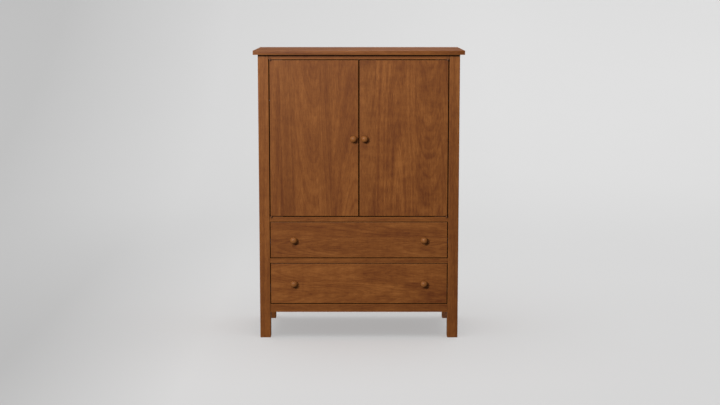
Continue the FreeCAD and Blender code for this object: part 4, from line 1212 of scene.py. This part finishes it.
# %% Drive the screws of the drawers and their slides
SLIDE_WALL, SLIDE_SCREWS, SLIDE_HEAD = 1.2 * MM, (-0.19, -0.02, 0.18), (3.6 * MM, 0.5 * MM)
FRONT_HEAD = (4.4 * MM, 1.9 * MM)
FRONT_SCREWS_OUT, FRONT_SCREWS_LOW, FRONT_SCREWS_HIGH = (0.12, 0.40), 50.0 * MM, 32.0 * MM
for level in ("upper", "lower"):
    low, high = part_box(level + "_box_front")
    places = [(side * out, high.y, z) for side in (-1, 1) for out in FRONT_SCREWS_OUT
              for z in (low.z + FRONT_SCREWS_LOW, high.z - FRONT_SCREWS_HIGH)]
    drive_screws(level + "_front_screws", level + "_drawer", places, (0, 1, 0), FRONT_HEAD)
    drawer_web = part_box(level + "_box_sides")[1].x + SLIDE_WALL
    case_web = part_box(level + "_slide_case_members")[1].x - SLIDE_WALL
    for part, body, web, way in (("drawer", level + "_drawer", drawer_web, 1),
                                 ("case", "case", case_web, -1)):
        height = middle_height(level + "_slide_" + part + "_members")
        places = [(side * web, y, height) for side in (-1, 1) for y in SLIDE_SCREWS]
        drive_screws(level + "_" + part + "_member_screws", body, places,
                     away_from(0.0, 0, way), SLIDE_HEAD, ZINC)

# %% [markdown]
# ## Bolts and shelf pins
#
# A round-headed bolt comes through the wood from behind and holds each knob, and the shelf rests on
# four pins with a collar that stops them at the face of the post. Both are in the joinery already,
# but with few sides, which show on bright metal. The lathe makes them smooth in the same places.

# %% Turn the bolts and the shelf pins
BOLT_SHANK, BOLT_HEAD, BOLT_SIDES, BOLT_TURN = 2.0 * MM, 2.5 * MM, 16, 0.4
PIN_RADIUS, PIN_TIP, PIN_LONG, PIN_SIDES = 3.0 * MM, 0.6 * MM, 20.5 * MM, 24
COLLAR_THICK = 1.5 * MM


def turn_bolts(node, body):
    low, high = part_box(node)
    radius, height, seat = (high.z - low.z) / 2, middle_height(node), high.y - BOLT_HEAD
    shank = [(BOLT_SHANK, 0.0), (BOLT_SHANK, seat - low.y)]
    mesh = bmesh.new()
    for number, x in enumerate(centres_along(node, radius)):
        lathe(mesh, (x, low.y, height), (0, 1, 0), shank, BOLT_SIDES)
        cross_screw(mesh, (x, seat, height), (0, 1, 0), radius, BOLT_HEAD, BOLT_TURN + number)
    new_piece(node + "_turned", mesh, body, ZINC, (node,))


def turn_shelf_pins():
    low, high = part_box("shelf_pins")
    collar = (high.z - low.z) / 2
    tip, stop = high.x - PIN_LONG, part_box("upper_slide_case_members")[1].x
    profile = [(PIN_RADIUS - PIN_TIP, tip), (PIN_RADIUS, tip + PIN_TIP),
               (PIN_RADIUS, stop - COLLAR_THICK), (collar, stop - COLLAR_THICK), (collar, stop),
               (PIN_RADIUS, stop), (PIN_RADIUS, high.x)]
    mesh = bmesh.new()
    for side in (-1, 1):
        for y in (low.y + collar, high.y - collar):
            lathe(mesh, (0, y, low.z + collar), (side, 0, 0), profile, PIN_SIDES)
    new_piece("shelf_pins_turned", mesh, "case", ZINC, ("shelf_pins",))


turn_bolts("left_door_knob_bolt", "left_door_leaf")
turn_bolts("right_door_knob_bolt", "right_door_leaf")
turn_bolts("upper_drawer_knob_bolts", "upper_drawer")
turn_bolts("lower_drawer_knob_bolts", "lower_drawer")
turn_shelf_pins()
print("bolts and pins turned")

# %% [markdown]
# ## The backdrop
#
# The cabinet stands on a seamless sheet of pale grey board, whose grey carries painted shade that
# darkens it towards one side, as light falling off across the sheet would. A lamp from the other side
# could do that, but the floor and the wall would then darken alike. In the paint each has levels of its
# own across the sheet, and they fade out in front of the cabinet.

# %% Paint the paper and its painted shade
# Grey levels across the sheet, as painted shade that darkens it towards the left.
FLOOR_PAPER_SHADE = ((-9.0, 0.74), (-4.5, 0.55), (-1.7, 0.55), (-0.8, 0.755), (1.6, 0.74))
WALL_PAPER_SHADE = ((-9.0, 0.74), (-5.0, 0.555), (-3.4, 0.555), (-1.5, 0.71), (0.0, 0.74), (1.4, 0.77))
PLAIN_PAPER, PAPER_STARTS, PAPER_TURNS = 0.75, (-7.0, -1.7), (-1.2, 5.0)
CLOUD_SCALE, CLOUD_TONE, PAPER_ROUGH = (0.6, 0.6, 0.6), (0.99, 1.0), 0.95


def grey(level):
    return (level, level, level, 1.0)


def graded(tree, x, stops):
    """Grey levels across the sheet, from (place, level) pairs."""
    left, right = stops[0][0], stops[-1][0]
    return colour_ramp(tree, spread(tree, x, left, right),
                       [((at - left) / (right - left), grey(level)) for at, level in stops])


def paper_paint_and_shade():
    """Neutral grey with painted shade, lightening from one end of the sheet to the other, with a faint
    mottle.
    """
    material, tree, shader, where = new_material("backdrop_painted_shade")
    place = where.outputs["Object"]
    x, y, _ = split(tree, place)
    on_wall = spread(tree, y, *PAPER_TURNS, smooth=True)
    tone = mixed(tree, on_wall, graded(tree, x, FLOOR_PAPER_SHADE), graded(tree, x, WALL_PAPER_SHADE))
    tone = mixed(tree, spread(tree, y, *PAPER_STARTS, smooth=True), grey(PLAIN_PAPER), tone)
    cloud = stretched_noise(tree, place, CLOUD_SCALE).outputs[0]
    tone = scaled(tree, tone, spread(tree, cloud, 0.3, 0.7, *CLOUD_TONE))
    tree.links.new(tone, shader.inputs["Base Color"])
    shader.inputs["Roughness"].default_value = PAPER_ROUGH
    shader.inputs["Specular IOR Level"].default_value = 0.0
    return material


print("paper from", min(level for _, level in FLOOR_PAPER_SHADE), "to", max(level for _, level in WALL_PAPER_SHADE))

# %% [markdown]
# ## Rolling out the sheet
#
# A floor and a wall would meet in a line; a quarter turn between them has none. A bent plane with a
# modifier would do, but a row of points along the floor, round the turn and up the wall says
# plainly where each begins. The sheet is kept out of bounces and reflections, so the colour of the
# wood comes from the lamps and the room alone.

# %% Roll out the backdrop
SWEEP_FRONT, SWEEP_BACK, SWEEP_HALF = -40.0, 14.5, 40.0
SWEEP_BEND, SWEEP_TALL, SWEEP_STEPS = 11.0, 14.0, 24


def roll_out_backdrop():
    """Floor, a quarter turn and a wall, as one smooth sheet."""
    line = [(SWEEP_FRONT, 0.0)]
    for step in range(SWEEP_STEPS + 1):
        angle = math.radians(90.0 * step / SWEEP_STEPS)
        line.append((SWEEP_BACK - SWEEP_BEND + SWEEP_BEND * math.sin(angle),
                     SWEEP_BEND * (1 - math.cos(angle))))
    line.append((SWEEP_BACK, SWEEP_TALL))
    mesh = bmesh.new()
    rows = [[mesh.verts.new((x, y, z)) for x in (-SWEEP_HALF, SWEEP_HALF)] for y, z in line]
    for row, following in zip(rows, rows[1:]):
        mesh.faces.new((row[0], row[1], following[1], following[0]))
    data = bpy.data.meshes.new("backdrop")
    mesh.to_mesh(data)
    mesh.free()
    data.shade_smooth()
    data.materials.append(paper_paint_and_shade())
    sheet = put_in_scene("backdrop", data)
    sheet.visible_glossy = False
    sheet.visible_diffuse = False
    return sheet


backdrop = roll_out_backdrop()
print("backdrop from y =", SWEEP_FRONT, "to", SWEEP_BACK)

# %% [markdown]
# ## The lamps
#
# The key lamp stands well back on the left and gives each knob its dark crescent. A broad soft
# lamp hangs nearer, so the light falls off towards the floor, and the slab shades the rail under
# it. One above lights the slab, two fills beside the cabinet keep its ends and its back from going
# dull, and a small lamp at floor level finds the rear foot that the case would leave black. One big
# lamp could light everything, but on a real set a flag keeps the lamps of the piece off the paper.
# Here light linking is the flag: each lamp lights the pieces of one collection.

# %% Hang the lamps of the cabinet
# name, place, what it points at, size, watts
CABINET_LAMPS = (
    ("key_lamp", (-4.2, -7.5, 4.3), (0.0, 0.0, 0.9), 1.2, 560.0),
    ("near_lamp", (-0.7, -3.0, 2.6), (0.0, 0.0, 0.9), 1.3, 49.0),
    ("top_lamp", (0.3, 0.6, 3.6), (0.0, 0.3, 1.4), 1.5, 50.0),
    ("left_fill", (-3.4, 1.3, 2.0), (0.0, 0.1, 0.8), 1.6, 70.0),
    ("right_fill", (3.4, 1.3, 2.0), (0.0, 0.1, 0.8), 1.6, 70.0))
FOOT_LAMP = ("foot_lamp", (0.1, -2.2, 0.12), (0.48, 0.2, 0.07), 0.2, 22.0)


def lit_group(name, members):
    group = bpy.data.collections.new(name)
    for member in members:
        group.objects.link(member)
    return group


def hang(name, kind, place, aim, lit):
    """Hangs a lamp that lights the pieces of one collection and isn't seen itself."""
    lamp = put_in_scene(name, bpy.data.lights.new(name, kind))
    lamp.location = place
    lamp.rotation_euler = (Vector(aim) - Vector(place)).to_track_quat("-Z", "Y").to_euler()
    lamp.visible_camera = False
    lamp.light_linking.receiver_collection = lit
    return lamp


def hang_disc(name, place, aim, size, watts, lit):
    light = hang(name, "AREA", place, aim, lit).data
    light.shape = "DISK"
    light.size = size
    light.energy = watts


pieces = [piece for piece in bpy.context.scene.objects if piece.type == "MESH" and piece != backdrop]
cabinet = lit_group("cabinet_pieces", pieces)
shaded_foot = lit_group("shaded_foot", [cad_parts["rear_right_post"]])
for lamp_row in CABINET_LAMPS:
    hang_disc(*lamp_row, cabinet)
hang_disc(*FOOT_LAMP, shaded_foot)
print("lamps on the cabinet:", len(CABINET_LAMPS) + 1, "lighting", len(pieces), "pieces")

# %% [markdown]
# ## Light on the paper
#
# The paper has a wash and an overhead light of its own. The wash comes from in front and is blocked
# by nothing but the paper itself; the overhead one is so broad that the case leaves one soft shadow
# under it. The room glows evenly and faintly on the pieces, and shows as pale grey past the paper.

# %% Light the paper and the room
WASH_FROM, WASH_STRENGTH = (0.0, -0.62, 1.02), 1.835
OVERHEAD_FROM, OVERHEAD_SPREAD, OVERHEAD_STRENGTH = (0.0, -0.02, 1.0), 70.0, 0.73
ROOM_LIGHT, ROOM_SEEN = 0.18, 0.68
ORIGIN = (0.0, 0.0, 0.0)

paper = lit_group("paper_pieces", [backdrop])
wash = hang("paper_wash", "SUN", WASH_FROM, ORIGIN, paper)
wash.data.energy = WASH_STRENGTH
wash.light_linking.blocker_collection = paper
overhead = hang("paper_overhead", "SUN", OVERHEAD_FROM, ORIGIN, paper)
overhead.data.energy = OVERHEAD_STRENGTH
overhead.data.angle = math.radians(OVERHEAD_SPREAD)

room = bpy.data.worlds.new("studio_room")
room.use_nodes = True
air = room.node_tree
seen = add_node(air, "LightPath").outputs["Is Camera Ray"]
glow = calc(air, "MULTIPLY_ADD", seen, ROOM_SEEN - ROOM_LIGHT, ROOM_LIGHT)
air.nodes["Background"].inputs["Color"].default_value = (1.0, 1.0, 1.0, 1.0)
air.links.new(glow, air.nodes["Background"].inputs["Strength"])
bpy.context.scene.world = room
bpy.context.scene.view_settings.view_transform = "Standard"
print("paper lit, room at", ROOM_LIGHT)

# %% [markdown]
# ## The size of the finished piece
#
# The finished piece has to be as large as its joinery.
